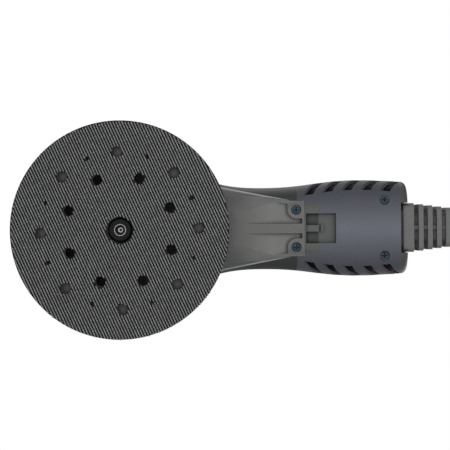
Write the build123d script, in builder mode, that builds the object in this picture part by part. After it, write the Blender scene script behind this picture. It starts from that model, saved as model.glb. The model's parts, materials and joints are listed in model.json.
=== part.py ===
from build123d import *
from math import cos, degrees, pi, radians, sin, sqrt, tan
import os

os.makedirs("parts", exist_ok=True)

# Orbital sander, lying as it works: the pad's face on the ground, the handle along +X.
# The origin is on the motor spindle's axis, in the plane of the pad's face. Millimetres.

# ---------------------------------------------------------------- driving dimensions
# Sanding pad
pad_diameter = 125.0
hook_thickness = 1.2
foam_thickness = 8.3
foam_chamfer = 2.2
plate_thickness = 3.0
plate_margin = 3.0
hub_diameter = 34.0
hub_height = 8.0
outer_hole_circle = 90.0
inner_hole_circle = 63.0
dust_hole = 6.0
vent_hole = 2.0
hole_count = 8
pad_turn = -1.5
channel_depth = 3.0
screw_access = 15.0
screw_recess = 5.0

# Pad screw, washer and the spindle that they hold the pad to
screw_head_diameter = 13.0
screw_head_height = 8.0
screw_diameter = 8.0
screw_length = 20.0
hex_key = 6.0
hex_key_depth = 4.5
washer_thickness = 1.6
hub_web = 2.0
drive_flats = 14.0
spindle_flange_diameter = 20.0
spindle_flange_height = 1.5
spindle_seat_diameter = 12.0
spindle_overrun = 0.6

# Orbit: how far the pad's axis stands from the motor's
orbit_radius = 2.5
orbit_bearing_diameter = 28.0
orbit_bearing_height = 12.0
circlip_thickness = 1.1
circlip_bite = 1.0
circlip_width = 3.0
circlip_gap = 6.0
hub_wall = 5.0
orbit_web = 4.0
shaft_boss_diameter = 18.0
shaft_boss_height = 3.0
weight_radius = 34.0
weight_height = 9.0
weight_half_angle = 80.0

# Motor
shaft_diameter = 12.0
rotor_seat_diameter = 10.0
shaft_tip_diameter = 8.0
lower_bearing_diameter = 28.0
lower_bearing_height = 8.0
upper_bearing_diameter = 22.0
upper_bearing_height = 7.0
stator_diameter = 66.0
stator_yoke = 6.0
stator_height = 16.0
tooth_count = 9
tooth_width = 6.0
tooth_shoe_width = 9.0
tooth_shoe_depth = 2.0
coil_thickness = 2.2
coil_overhang = 2.5
coil_radial = 6.5
air_gap = 1.0
magnet_thickness = 2.5
magnet_count = 8
magnet_angle = 38.0
rotor_overhang = 1.0
fan_radius = 30.0
fan_disc = 1.2
fan_height = 5.0
fan_blades = 11
fan_blade_thickness = 1.5
fan_hub_radius = 8.0
board_thickness = 1.6

# Shroud, brake seal, motor base and motor housing
shroud_radius = 53.0
shroud_top_radius = 44.0
shroud_bottom = 16.0
shroud_shoulder = 30.0
shroud_height = 27.0
shroud_wall = 2.5
shroud_opening = 30.0
shroud_blend = 6.0
port_width = 26.0
port_height = 13.0
port_wall = 2.0
port_floor = 18.0
port_end = 57.0
seal_thickness = 3.0
seal_body = 8.0
seal_gap = 0.3
seal_bead = 1.0
base_plate = 3.0
base_cup_wall = 2.5
base_cup_height = 26.0
base_boss_wall = 3.0
base_lip = 1.4
housing_radius = 42.0
housing_wall = 2.5
housing_top_fillet = 5.0
housing_boss_wall = 3.0
vent_slot_width = 2.0
vent_slot_height = 9.0
vent_slot_count = 15
vent_slot_span = 196.0
cap_radius = 37.0
cap_height = 4.0
cap_fillet = 3.2
base_screw_count = 4

# Handle, as stations along +X: distance, half width, underside, top
handle_stations = [
    (12.0, 40.6, 34.0, 78.0),
    (26.0, 37.5, 34.0, 78.0),
    (42.0, 31.0, 34.0, 78.0),
    (60.6, 25.8, 34.0, 78.0),
    (80.1, 24.5, 33.9, 78.0),
    (99.5, 25.4, 33.4, 78.0),
    (118.9, 27.8, 33.0, 78.0),
    (135.9, 28.8, 33.0, 78.0),
    (157.8, 28.05, 33.4, 77.4),
    (166.4, 27.2, 34.0, 76.6),
]
handle_corner = 16.0
handle_end_fillet = 3.2
shell_wall = 2.6
shell_split = 56.0
grip_thickness = 2.0
grip_front = 100.5
grip_back = 162.0
cavity_back = 160.0
notch_count = 5
notch_first = 104.0
notch_pitch = 11.4
notch_length = 6.2
notch_lean = 11.0
notch_bottom = 36.4
notch_height = 15.0
notch_inner = 17.0

# Neck cover with its two sloping pockets and central rib
cover_start = 46.0
cover_front_half = 26.4
cover_mid = 76.0
cover_mid_half = 19.9
cover_taper_end = 97.5
cover_half = 16.5
cover_end = 104.8
cover_thickness = 4.0
seat_thickness = 3.0
rib_half = 2.85
pocket_front = 69.5
pocket_end = 103.4
pocket_depth = 2.8
pocket_border = 1.8
neck_screw_x = 99.9
neck_screw_y = 11.1
boss_radius = 5.2
plate_patch_end = 113.5
plate_patch_half = 15.0

# Catch pocket for a clip-on dust outlet
catch_start = 105.6
catch_end = 123.4
catch_half = 8.85
catch_depth = 5.4
catch_wall = 3.0
catch_rib_half = 2.0
catch_rib_end = 113.4
catch_rib_drop = 2.0
catch_notch = 1.3
catch_step = 1.3

# Screws of the handle
small_screw = 3.0
small_head = 5.4
small_head_height = 2.2
small_recess = 6.0
small_recess_depth = 2.4
screw_boss = 8.0
rear_screw_x = 152.3
rear_screw_y = 16.6
rear_screw_length = 22.0
cross_width = 1.0
cross_length = 3.6
cross_depth = 1.2

# Electronics
board_front = 88.0
board_back = 147.5
board_half = 16.0
board_height = 46.0
standoff_x = 143.0
standoff_y = 12.0
capacitor_diameter = 14.0
capacitor_length = 22.0
capacitor_front = 113.0
capacitor_y = 8.0
heatsink_front = 94.0
heatsink_length = 17.0
heatsink_half = 13.0
heatsink_base = 2.5
heatsink_height = 8.0
fin_thickness = 1.4
fin_count = 6
terminal_front = 137.5
terminal_length = 10.0
terminal_half = 8.0
terminal_height = 10.0
terminal_screw = 3.0
lead_diameter = 2.0
lead_spacing = 4.0
lead_bend = 8.0
switch_length = 20.0
switch_half = 5.0
switch_height = 7.5
switch_rib = 2.0

# Button panel
panel_clearance = 3.5
panel_length = 22.5
panel_front = housing_radius + panel_clearance
panel_back = panel_front + panel_length
panel_half = 12.0
panel_sunk = 1.0
panel_rise = 1.6
power_inset = 5.7
power_x = panel_front + power_inset
power_diameter = 10.0
speed_inset = 5.6
speed_x = panel_back - speed_inset
speed_y = 6.2
speed_diameter = 7.6
button_rise = 1.2
button_flange = 1.0
button_flange_height = 1.2
button_travel = 0.8
button_gap = 0.25
lens_length = 1.4
lens_width = 9.0
lens_inset = 11.8
lens_x = panel_front + lens_inset
button_board_gap = 2.6
button_switch_height = 0.9

# Paddle lever
pin_setback = 8.0
pin_x = panel_back + pin_setback
pin_height = 82.6
pin_diameter = 3.0
barrel_radius = 4.0
lever_half = 12.5
lever_length = 66.0
lever_end = pin_x + lever_length
lever_thickness = 3.4
lever_edge = 1.2
lever_corner = 8.0
ear_thickness = 3.0
ear_length = 9.0
spring_half = 3.6
spring_wire = 1.2
post_reach = 36.0
post_x = pin_x + post_reach
post_diameter = 6.0
post_length = 10.0
post_hole = 10.0
lever_window_margin = 4.0
lever_window_back = lever_end + lever_window_margin
lever_window_half = 14.5

# Cable boot
boot_bore = 8.0
flange_front = 157.0
flange_width = 33.0
flange_tall = 20.8
boot_neck_width = 25.0
boot_neck_tall = 19.0
collar_front = 163.9
collar_back = 170.2
collar_width = 29.2
collar_tall = 24.0
boot_corner = 3.0
ring_front = 173.1
ring_pitch = 5.5
ring_thickness = 2.8
ring_count = 9
ring_first_width = 27.8
ring_step = 1.4
core_width = 18.0
core_margin = 5.6
core_rib = 2.4
side_web = 1.6
nose_length = 9.0
nose_chamfer = 1.2
slot_gap = 0.3

# Cable clamp
clamp_front = 151.5
clamp_length = 5.0
clamp_half = 12.2
clamp_cover = 3.0
clamp_screw_y = 9.0
clamp_screw_depth = 6.0

# Cord, coil and plug
cord_diameter = 8.0
ground_gap = 0.2
cord_points = [
    (27.0, 0.0, 49.0),
    (54.0, -4.0, 44.2),
    (80.0, -14.5, 30.0),
    (107.0, -30.0, 14.0),
    (136.0, -43.0, 5.4),
    (168.0, -48.0, 4.3),
]
coil_turn_radius = 44.0
coil_columns = 4
coil_levels = 2
coil_corner = 6.0
tie_angle = 20.0
tie_width = 9.0
tie_thickness = 1.4
plug_angle = 90.0
plug_start = 30.0
plug_neck_length = 26.0
plug_neck_rise = 3.3
plug_neck_width = 12.0
plug_length = 40.0
plug_width = 36.0
plug_height = 15.0
plug_corner = 5.0
plug_pin_diameter = 4.8
plug_pin_length = 19.0
plug_pin_spacing = 19.0

# Fits
running_fit = 0.03
part_gap = 0.15
body_gap = 0.3

# ---------------------------------------------------------------- derived places
pad_x = -orbit_radius
hole_half_pitch = 180.0 / hole_count
plate_bottom = hook_thickness + foam_thickness
plate_top = plate_bottom + plate_thickness
hub_top = plate_top + hub_height
head_top = screw_recess + screw_head_height
washer_top = head_top + washer_thickness
web_top = washer_top + hub_web
flange_top = hub_top + spindle_flange_height
circlip_bottom = flange_top + body_gap
bearing_bottom = circlip_bottom + circlip_thickness
bearing_top = bearing_bottom + orbit_bearing_height
spindle_top = bearing_top + spindle_overrun
orbit_web_bottom = spindle_top + body_gap
orbit_web_top = orbit_web_bottom + orbit_web
shaft_boss_top = orbit_web_top + shaft_boss_height
shroud_top = shroud_bottom + shroud_height
base_top = shroud_top + base_plate
lower_bearing_bottom = shroud_top + base_lip
lower_bearing_top = lower_bearing_bottom + lower_bearing_height
sensor_top = lower_bearing_top + board_thickness
stator_bottom = sensor_top + coil_overhang + air_gap
stator_top = stator_bottom + stator_height
coil_top = stator_top + coil_overhang
fan_bottom = coil_top + air_gap
fan_top = fan_bottom + fan_height
upper_bearing_bottom = fan_top + air_gap
upper_bearing_top = upper_bearing_bottom + upper_bearing_height
housing_top = upper_bearing_top + housing_wall
base_cup_radius = stator_diameter / 2 + base_cup_wall
base_screw_radius = (base_cup_radius + housing_radius - housing_wall) / 2
tooth_tip = stator_diameter / 2 - stator_yoke - coil_radial - tooth_shoe_depth - air_gap
magnet_radius = tooth_tip - air_gap
rotor_radius = magnet_radius - magnet_thickness
weight_bottom = bearing_bottom + air_gap
handle_back = handle_stations[-1][0]
handle_floor = handle_stations[0][2]
handle_top = handle_stations[0][3]
wall_inset = grip_thickness + shell_wall
boot_height = handle_floor + wall_inset + flange_tall / 2
seat_bottom = handle_floor + cover_thickness
seat_top = seat_bottom + seat_thickness
boss_foot = handle_floor + shell_wall
catch_floor = handle_floor - 1.0 + catch_depth
catch_top = catch_floor + catch_wall
board_top = board_height + board_thickness
lever_bottom = pin_height
cavity_ceiling = handle_top - wall_inset
switch_top = lever_bottom - post_length - body_gap - 2.6
panel_bottom = handle_top - panel_sunk
panel_top = handle_top + panel_rise
button_top = panel_top + button_rise
flange_ceiling = cavity_ceiling - body_gap
button_foot = flange_ceiling - button_flange_height
button_board_top = button_foot - button_board_gap + button_switch_height
boot_back = ring_front + (ring_count - 1) * ring_pitch + ring_thickness + nose_length


def save(piece, name):
    """Name a finished piece and write it as its own STEP file."""
    piece.part.label = name
    export_step(piece.part, f"parts/{name}.step")


def pad_plane(height):
    """Horizontal plane centred on the pad's axis."""
    return Plane(origin=(pad_x, 0, height))


def motor_plane(height):
    """Horizontal plane centred on the motor's axis."""
    return Plane.XY.offset(height)


def cross_plane(distance):
    """Upright plane across the handle, at a distance along it."""
    return Plane(origin=(distance, 0, 0), x_dir=(0, 1, 0), z_dir=(1, 0, 0))


def ring_solid(plane, outer_radius, inner_radius, height):
    """A plain ring standing on a plane."""
    with BuildPart() as ring:
        with BuildSketch(plane):
            Circle(outer_radius)
            Circle(inner_radius, mode=Mode.SUBTRACT)
        extrude(amount=height)
    return ring


# ---------------------------------------------------------------- sanding pad
def dust_pattern(plane):
    """Two circles of dust holes, the small vents and the screw access hole."""
    with BuildSketch(plane) as pattern:
        with PolarLocations(outer_hole_circle / 2, hole_count, start_angle=pad_turn):
            Circle(dust_hole / 2)
        with PolarLocations(inner_hole_circle / 2, hole_count, start_angle=pad_turn + hole_half_pitch):
            Circle(dust_hole / 2)
        with PolarLocations(outer_hole_circle / 2, hole_count, start_angle=pad_turn + hole_half_pitch):
            Circle(vent_hole / 2)
        Circle(screw_access / 2)
    return pattern.sketch


with BuildPart() as hook_face:
    with BuildSketch(pad_plane(0)):
        Circle(pad_diameter / 2)
    extrude(amount=hook_thickness)
    extrude(dust_pattern(pad_plane(0)), amount=hook_thickness, mode=Mode.SUBTRACT)
save(hook_face, "hook_face")

with BuildPart() as pad_foam:
    with BuildSketch(pad_plane(hook_thickness)):
        Circle(pad_diameter / 2)
    extrude(amount=foam_thickness)
    chamfer(pad_foam.edges().group_by(Axis.Z)[-1], foam_chamfer)
    extrude(dust_pattern(pad_plane(hook_thickness)), amount=foam_thickness, mode=Mode.SUBTRACT)
    with BuildSketch(pad_plane(plate_bottom)):
        Circle((inner_hole_circle + dust_hole) / 2)
        Circle((inner_hole_circle - dust_hole) / 2, mode=Mode.SUBTRACT)
        with PolarLocations((outer_hole_circle + inner_hole_circle) / 4, hole_count, start_angle=pad_turn):
            Rectangle((outer_hole_circle - inner_hole_circle) / 2, dust_hole)
    extrude(amount=-channel_depth, mode=Mode.SUBTRACT)
save(pad_foam, "pad_foam")

with BuildPart() as pad_plate:
    with BuildSketch(pad_plane(plate_bottom)):
        Circle(pad_diameter / 2 - plate_margin)
    extrude(amount=plate_thickness)
    with BuildSketch(pad_plane(plate_top)):
        Circle(hub_diameter / 2)
    extrude(amount=hub_height)
    with BuildSketch(pad_plane(plate_bottom)):
        with PolarLocations(inner_hole_circle / 2, hole_count, start_angle=pad_turn + hole_half_pitch):
            Circle(dust_hole / 2)
    extrude(amount=plate_thickness, mode=Mode.SUBTRACT)
    with BuildSketch(pad_plane(plate_bottom)):
        Circle(screw_access / 2)
    extrude(amount=washer_top - plate_bottom, mode=Mode.SUBTRACT)
    with BuildSketch(pad_plane(washer_top)):
        Circle(screw_diameter / 2 + body_gap)
    extrude(amount=hub_web, mode=Mode.SUBTRACT)
    with BuildSketch(pad_plane(web_top)):
        RegularPolygon(drive_flats / 2 + part_gap, 6, major_radius=False)
    extrude(amount=hub_top - web_top, mode=Mode.SUBTRACT)
save(pad_plate, "pad_plate")

pad_washer = ring_solid(
    pad_plane(head_top), screw_access / 2 - body_gap, screw_diameter / 2 + part_gap, washer_thickness
)
save(pad_washer, "pad_washer")

with BuildPart() as pad_screw:
    with BuildSketch(pad_plane(screw_recess)):
        Circle(screw_head_diameter / 2)
    extrude(amount=screw_head_height)
    chamfer(pad_screw.edges().group_by(Axis.Z)[0], cross_width / 2)
    with BuildSketch(pad_plane(head_top)):
        Circle(screw_diameter / 2)
    extrude(amount=screw_length)
    with BuildSketch(pad_plane(screw_recess)):
        RegularPolygon(hex_key / 2, 6, major_radius=False)
    extrude(amount=hex_key_depth, mode=Mode.SUBTRACT)
save(pad_screw, "pad_screw")

with BuildPart() as pad_spindle:
    with BuildSketch(pad_plane(web_top)):
        RegularPolygon(drive_flats / 2, 6, major_radius=False)
    extrude(amount=hub_top - web_top)
    with BuildSketch(pad_plane(hub_top)):
        Circle(spindle_flange_diameter / 2)
    extrude(amount=spindle_flange_height)
    with BuildSketch(pad_plane(flange_top)):
        Circle(spindle_seat_diameter / 2)
    extrude(amount=spindle_top - flange_top)
    with BuildSketch(pad_plane(web_top)):
        Circle(screw_diameter / 2)
    extrude(amount=head_top + screw_length - web_top, mode=Mode.SUBTRACT)
save(pad_spindle, "pad_spindle")

# ---------------------------------------------------------------- orbit drive
orbit_bearing = ring_solid(
    pad_plane(bearing_bottom),
    orbit_bearing_diameter / 2,
    spindle_seat_diameter / 2 + running_fit,
    orbit_bearing_height,
)
save(orbit_bearing, "orbit_bearing")

with BuildPart() as bearing_circlip:
    with BuildSketch(pad_plane(circlip_bottom)):
        Circle(orbit_bearing_diameter / 2 + circlip_bite)
        Circle(orbit_bearing_diameter / 2 + circlip_bite - circlip_width, mode=Mode.SUBTRACT)
        with Locations((-orbit_bearing_diameter / 2, 0)):
            Rectangle(circlip_gap, circlip_gap, mode=Mode.SUBTRACT)
    extrude(amount=circlip_thickness)
save(bearing_circlip, "bearing_circlip")

with BuildPart() as eccentric_hub:
    with BuildSketch(pad_plane(hub_top + body_gap)):
        Circle(orbit_bearing_diameter / 2 + hub_wall)
    extrude(amount=orbit_web_top - hub_top - body_gap)
    with BuildSketch(motor_plane(orbit_web_top)):
        Circle(shaft_boss_diameter / 2)
    extrude(amount=shaft_boss_height)
    with BuildSketch(pad_plane(hub_top + body_gap)):
        Circle(orbit_bearing_diameter / 2)
    extrude(amount=orbit_web_bottom - hub_top - body_gap, mode=Mode.SUBTRACT)
    with BuildSketch(motor_plane(orbit_web_bottom)):
        Circle(shaft_diameter / 2)
    extrude(amount=shaft_boss_top - orbit_web_bottom, mode=Mode.SUBTRACT)
    add(bearing_circlip.part, mode=Mode.SUBTRACT)
save(eccentric_hub, "eccentric_hub")

with BuildPart() as counterweight:
    with BuildSketch(motor_plane(weight_bottom)):
        with BuildLine():
            weight_arc = CenterArc((0, 0), weight_radius, -weight_half_angle, 2 * weight_half_angle)
            Line(weight_arc @ 1, (0, 0))
            Line((0, 0), weight_arc @ 0)
        make_face()
    extrude(amount=weight_height)
    with BuildSketch(pad_plane(weight_bottom)):
        Circle(orbit_bearing_diameter / 2 + hub_wall)
    extrude(amount=weight_height, mode=Mode.SUBTRACT)
save(counterweight, "counterweight")

# ---------------------------------------------------------------- motor, turning parts
with BuildPart() as motor_shaft:
    with BuildSketch(motor_plane(orbit_web_bottom + body_gap)):
        Circle(shaft_diameter / 2)
    extrude(amount=sensor_top - orbit_web_bottom - body_gap)
    with BuildSketch(motor_plane(sensor_top)):
        Circle(rotor_seat_diameter / 2)
    extrude(amount=coil_top - sensor_top)
    with BuildSketch(motor_plane(coil_top)):
        Circle(shaft_tip_diameter / 2)
    extrude(amount=upper_bearing_top - coil_top - body_gap)
save(motor_shaft, "motor_shaft")

rotor_core = ring_solid(
    motor_plane(stator_bottom - rotor_overhang),
    rotor_radius,
    rotor_seat_diameter / 2,
    stator_height + 2 * rotor_overhang,
)
save(rotor_core, "rotor_core")

with BuildPart() as rotor_magnets:
    with BuildSketch(motor_plane(stator_bottom - rotor_overhang)):
        for index in range(magnet_count):
            magnet_start = index * 360 / magnet_count - magnet_angle / 2
            with BuildLine():
                magnet_arc = CenterArc((0, 0), magnet_radius, magnet_start, magnet_angle)
                Line(magnet_arc @ 1, (0, 0))
                Line((0, 0), magnet_arc @ 0)
            make_face()
        Circle(rotor_radius, mode=Mode.SUBTRACT)
    extrude(amount=stator_height + 2 * rotor_overhang)
save(rotor_magnets, "rotor_magnets")

with BuildPart() as cooling_fan:
    with BuildSketch(motor_plane(fan_bottom)):
        Circle(fan_radius)
    extrude(amount=fan_disc)
    with BuildSketch(motor_plane(fan_bottom)):
        Circle(fan_hub_radius)
        with PolarLocations((fan_hub_radius + fan_radius - 2 * fan_disc) / 2, fan_blades):
            Rectangle(fan_radius - fan_hub_radius, fan_blade_thickness)
    extrude(amount=fan_height)
    with BuildSketch(motor_plane(fan_bottom)):
        Circle(shaft_tip_diameter / 2)
    extrude(amount=fan_height, mode=Mode.SUBTRACT)
save(cooling_fan, "cooling_fan")

# ---------------------------------------------------------------- motor, fixed parts
lower_bearing = ring_solid(
    motor_plane(lower_bearing_bottom),
    lower_bearing_diameter / 2,
    shaft_diameter / 2 + running_fit,
    lower_bearing_height,
)
save(lower_bearing, "lower_bearing")

upper_bearing = ring_solid(
    motor_plane(upper_bearing_bottom),
    upper_bearing_diameter / 2,
    shaft_tip_diameter / 2 + running_fit,
    upper_bearing_height,
)
save(upper_bearing, "upper_bearing")

with BuildPart() as stator_core:
    with BuildSketch(motor_plane(stator_bottom)):
        Circle(stator_diameter / 2)
        Circle(stator_diameter / 2 - stator_yoke, mode=Mode.SUBTRACT)
        with PolarLocations((tooth_tip + stator_diameter / 2 - stator_yoke / 2) / 2, tooth_count):
            Rectangle(stator_diameter / 2 - stator_yoke / 2 - tooth_tip, tooth_width)
        with PolarLocations(tooth_tip + tooth_shoe_depth / 2, tooth_count):
            Rectangle(tooth_shoe_depth, tooth_shoe_width)
        Circle(tooth_tip, mode=Mode.SUBTRACT)
    extrude(amount=stator_height)
save(stator_core, "stator_core")

with BuildPart() as stator_windings:
    coil_middle = stator_diameter / 2 - stator_yoke - air_gap - coil_radial / 2
    with BuildSketch(motor_plane(stator_bottom - coil_overhang)):
        with PolarLocations(coil_middle, tooth_count):
            Rectangle(coil_radial, tooth_width + 2 * coil_thickness)
    extrude(amount=stator_height + 2 * coil_overhang)
    with BuildSketch(motor_plane(stator_bottom)):
        with PolarLocations(coil_middle, tooth_count):
            Rectangle(coil_radial, tooth_width)
    extrude(amount=stator_height, mode=Mode.SUBTRACT)
save(stator_windings, "stator_windings")

sensor_board = ring_solid(
    motor_plane(lower_bearing_top),
    stator_diameter / 2 - body_gap,
    lower_bearing_diameter / 2,
    board_thickness,
)
save(sensor_board, "sensor_board")

lead_exit_half = lead_spacing + lead_diameter
lead_exit_height = stator_bottom - sensor_top
with BuildPart() as lead_exit:
    with BuildSketch(Plane(origin=(0, 0, sensor_top), x_dir=(1, 0, 0), z_dir=(0, 0, 1))):
        with Locations((housing_radius, 0)):
            Rectangle(2 * (housing_radius - stator_diameter / 2) + stator_yoke, 2 * lead_exit_half)
    extrude(amount=lead_exit_height)

with BuildPart() as motor_base:
    with BuildSketch(motor_plane(shroud_top)):
        Circle(housing_radius - housing_wall - part_gap)
        Circle(shaft_boss_diameter / 2 + 2, mode=Mode.SUBTRACT)
        with PolarLocations(base_screw_radius, base_screw_count, start_angle=45):
            Circle(small_screw / 2, mode=Mode.SUBTRACT)
    extrude(amount=base_lip)
    with BuildSketch(motor_plane(lower_bearing_bottom)):
        Circle(housing_radius - housing_wall - part_gap)
        Circle(lower_bearing_diameter / 2, mode=Mode.SUBTRACT)
        with PolarLocations(base_screw_radius, base_screw_count, start_angle=45):
            Circle(small_screw / 2, mode=Mode.SUBTRACT)
    extrude(amount=base_top - lower_bearing_bottom)
    with BuildSketch(motor_plane(base_top)):
        Circle(lower_bearing_diameter / 2 + base_boss_wall)
        Circle(lower_bearing_diameter / 2, mode=Mode.SUBTRACT)
    extrude(amount=lower_bearing_top - base_top)
    with BuildSketch(motor_plane(base_top)):
        Circle(base_cup_radius)
        Circle(stator_diameter / 2, mode=Mode.SUBTRACT)
    extrude(amount=base_cup_height)
    add(lead_exit.part, mode=Mode.SUBTRACT)
save(motor_base, "motor_base")

# ---------------------------------------------------------------- shroud and housing
def shroud_solid(inset, bottom):
    """The shroud's bell: a skirt, a sloping shoulder and a flat top, drawn in by an inset."""
    with BuildPart() as bell:
        with BuildSketch(Plane.XZ):
            with BuildLine():
                Polyline(
                    (0, bottom),
                    (shroud_radius - inset, bottom),
                    (shroud_radius - inset, shroud_shoulder),
                    (shroud_top_radius - inset, shroud_top - inset),
                    (0, shroud_top - inset),
                    close=True,
                )
            make_face()
        revolve(axis=Axis.Z)
        shoulder = bell.edges().filter_by(GeomType.CIRCLE).group_by(Axis.Z)[1]
        fillet(shoulder, shroud_blend)
    return bell


port_middle = port_floor + port_height / 2
shroud_outside = shroud_solid(0, shroud_bottom)
shroud_inside = shroud_solid(shroud_wall, shroud_bottom)

with BuildPart() as shroud:
    add(shroud_outside.part)
    with BuildSketch(cross_plane(shroud_top_radius - shroud_blend)):
        with Locations((0, port_middle)):
            Rectangle(port_width + 2 * port_wall, port_height + 2 * port_wall)
    extrude(amount=port_end - shroud_top_radius + shroud_blend)
    add(shroud_inside.part, mode=Mode.SUBTRACT)
    with BuildSketch(cross_plane(shroud_top_radius - shroud_blend)):
        with Locations((0, port_middle)):
            Rectangle(port_width, port_height)
    extrude(amount=port_end - shroud_top_radius + shroud_blend, mode=Mode.SUBTRACT)
    with BuildSketch(motor_plane(shroud_top - shroud_wall)):
        Circle(shroud_opening)
        with PolarLocations(base_screw_radius, base_screw_count, start_angle=45):
            Circle(small_screw / 2)
    extrude(amount=shroud_wall, mode=Mode.SUBTRACT)
save(shroud, "shroud")

seal_radius = shroud_radius - shroud_wall
with BuildPart() as brake_seal:
    with BuildSketch(motor_plane(plate_top + seal_gap)):
        Circle(seal_radius)
        Circle(seal_radius - seal_thickness, mode=Mode.SUBTRACT)
    extrude(amount=shroud_bottom + seal_body - plate_top - seal_gap)
    with BuildSketch(motor_plane(shroud_bottom - seal_bead)):
        Circle(seal_radius + seal_bead)
        Circle(seal_radius - seal_bead, mode=Mode.SUBTRACT)
    extrude(amount=seal_bead)
    with BuildSketch(cross_plane(0)):
        with Locations((0, port_middle)):
            Rectangle(port_width, port_height)
    extrude(amount=port_end, mode=Mode.SUBTRACT)
save(brake_seal, "brake_seal")

with BuildPart() as base_screws:
    with BuildSketch(motor_plane(shroud_top - shroud_wall - small_head_height)):
        with PolarLocations(base_screw_radius, base_screw_count, start_angle=45):
            Circle(small_head / 2)
    extrude(amount=small_head_height)
    with BuildSketch(motor_plane(shroud_top - shroud_wall)):
        with PolarLocations(base_screw_radius, base_screw_count, start_angle=45):
            Circle(small_screw / 2)
    extrude(amount=shroud_wall + base_plate)
save(base_screws, "base_screws")

with BuildPart() as head_housing:
    with BuildSketch(motor_plane(shroud_top)):
        Circle(housing_radius)
    extrude(amount=housing_top - shroud_top)
    fillet(head_housing.edges().group_by(Axis.Z)[-1], housing_top_fillet)
    with BuildSketch(motor_plane(shroud_top)):
        Circle(housing_radius - housing_wall)
    extrude(amount=upper_bearing_bottom - shroud_top, mode=Mode.SUBTRACT)
    with BuildSketch(motor_plane(upper_bearing_bottom)):
        Circle(housing_radius - housing_wall - housing_top_fillet)
        Circle(upper_bearing_diameter / 2 + housing_boss_wall, mode=Mode.SUBTRACT)
        Circle(upper_bearing_diameter / 2)
    extrude(amount=upper_bearing_height, mode=Mode.SUBTRACT)
    vent_middle = fan_bottom + fan_height / 2 - vent_slot_width
    for index in range(vent_slot_count):
        vent_angle = 180 - vent_slot_span / 2 + vent_slot_span * index / (vent_slot_count - 1)
        vent_direction = (cos(radians(vent_angle)), sin(radians(vent_angle)), 0)
        with BuildSketch(Plane(origin=(0, 0, vent_middle), z_dir=vent_direction, x_dir=(0, 0, 1))):
            SlotOverall(vent_slot_height, vent_slot_width)
        extrude(amount=housing_radius + housing_wall, mode=Mode.SUBTRACT)
    add(lead_exit.part, mode=Mode.SUBTRACT)
save(head_housing, "head_housing")

with BuildPart() as head_cap:
    with BuildSketch(motor_plane(housing_top)):
        Circle(cap_radius)
    extrude(amount=cap_height)
    fillet(head_cap.edges().group_by(Axis.Z)[-1], cap_fillet)
save(head_cap, "head_cap")

# ---------------------------------------------------------------- handle shells
def handle_form(inset, back):
    """The handle's outer form, drawn in by an inset and cut off square at the back."""
    with BuildPart() as form:
        for distance, half_width, underside, top in handle_stations:
            with BuildSketch(cross_plane(distance)):
                with Locations((0, (underside + top) / 2)):
                    RectangleRounded(
                        2 * (half_width - inset), top - underside - 2 * inset, handle_corner - inset
                    )
        loft()
        if back < handle_back:
            with BuildSketch(cross_plane(back)):
                with Locations((0, handle_top / 2)):
                    Rectangle(4 * housing_radius, 2 * handle_top)
            extrude(amount=2 * (handle_back - back), mode=Mode.SUBTRACT)
    return form


with BuildPart() as outer_form:
    add(handle_form(0, handle_back).part)
    fillet(outer_form.faces().sort_by(Axis.X)[-1].edges(), handle_end_fillet)

with BuildPart() as head_space:
    add(shroud_outside.part)
    with BuildSketch(motor_plane(shroud_top)):
        Circle(housing_radius)
    extrude(amount=housing_top - shroud_top)

with BuildPart() as grip_layer:
    add(outer_form.part)
    add(handle_form(grip_thickness, handle_back).part, mode=Mode.SUBTRACT)
    with BuildSketch(cross_plane(grip_front)):
        with Locations((0, handle_top / 2)):
            Rectangle(4 * housing_radius, 2 * handle_top)
    extrude(amount=grip_back - grip_front, mode=Mode.INTERSECT)
    # Bare plastic: round the neck cover, beside the catch pocket and under the lever.
    with BuildSketch(motor_plane(0)):
        with Locations(((grip_front + cover_end) / 2, 0)):
            Rectangle(cover_end - grip_front + part_gap, 2 * (cover_half + part_gap))
        with Locations(((grip_front + plate_patch_end) / 2, 0)):
            Rectangle(plate_patch_end - grip_front, 2 * plate_patch_half)
        with Locations(((catch_start + catch_end) / 2, 0)):
            Rectangle(catch_end - catch_start, 2 * catch_half)
    extrude(amount=seat_top, mode=Mode.SUBTRACT)
    with BuildSketch(motor_plane(cavity_ceiling - wall_inset)):
        with Locations(((grip_front + lever_window_back) / 2, 0)):
            Rectangle(lever_window_back - grip_front, 2 * lever_window_half)
    extrude(amount=2 * handle_top, mode=Mode.SUBTRACT)

with BuildPart() as boot_slot:
    slot_top = boot_height + collar_tall / 2 + slot_gap
    neck_top = boot_height + boot_neck_tall / 2
    with BuildSketch(cross_plane(grip_back)):
        with Locations((0, slot_top / 2)):
            Rectangle(collar_width + 2 * slot_gap, slot_top)
    extrude(amount=2 * (handle_back - grip_back))
    with BuildSketch(cross_plane(cavity_back)):
        with Locations((0, (neck_top + boot_height - boot_neck_tall / 2) / 2)):
            Rectangle(boot_neck_width, boot_neck_tall)
    extrude(amount=grip_back - cavity_back)

with BuildPart() as shell_blank:
    add(outer_form.part)
    add(handle_form(wall_inset, cavity_back).part, mode=Mode.SUBTRACT)
    add(grip_layer.part, mode=Mode.SUBTRACT)
    add(head_space.part, mode=Mode.SUBTRACT)
    add(boot_slot.part, mode=Mode.SUBTRACT)


def cover_outline(growth):
    """Plan of the neck cover: two hollow-curved sides and a straight tail."""
    with BuildSketch() as outline:
        with BuildLine():
            Polyline(
                (cover_start, 0),
                (cover_start, cover_front_half + growth),
            )
            ThreePointArc(
                (cover_start, cover_front_half + growth),
                (cover_mid, cover_mid_half + growth),
                (cover_taper_end, cover_half + growth),
            )
            Polyline(
                (cover_taper_end, cover_half + growth),
                (cover_end + growth, cover_half + growth),
                (cover_end + growth, 0),
                (cover_start, 0),
            )
        make_face()
        mirror(about=Plane.XZ)
    return outline.sketch


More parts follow.
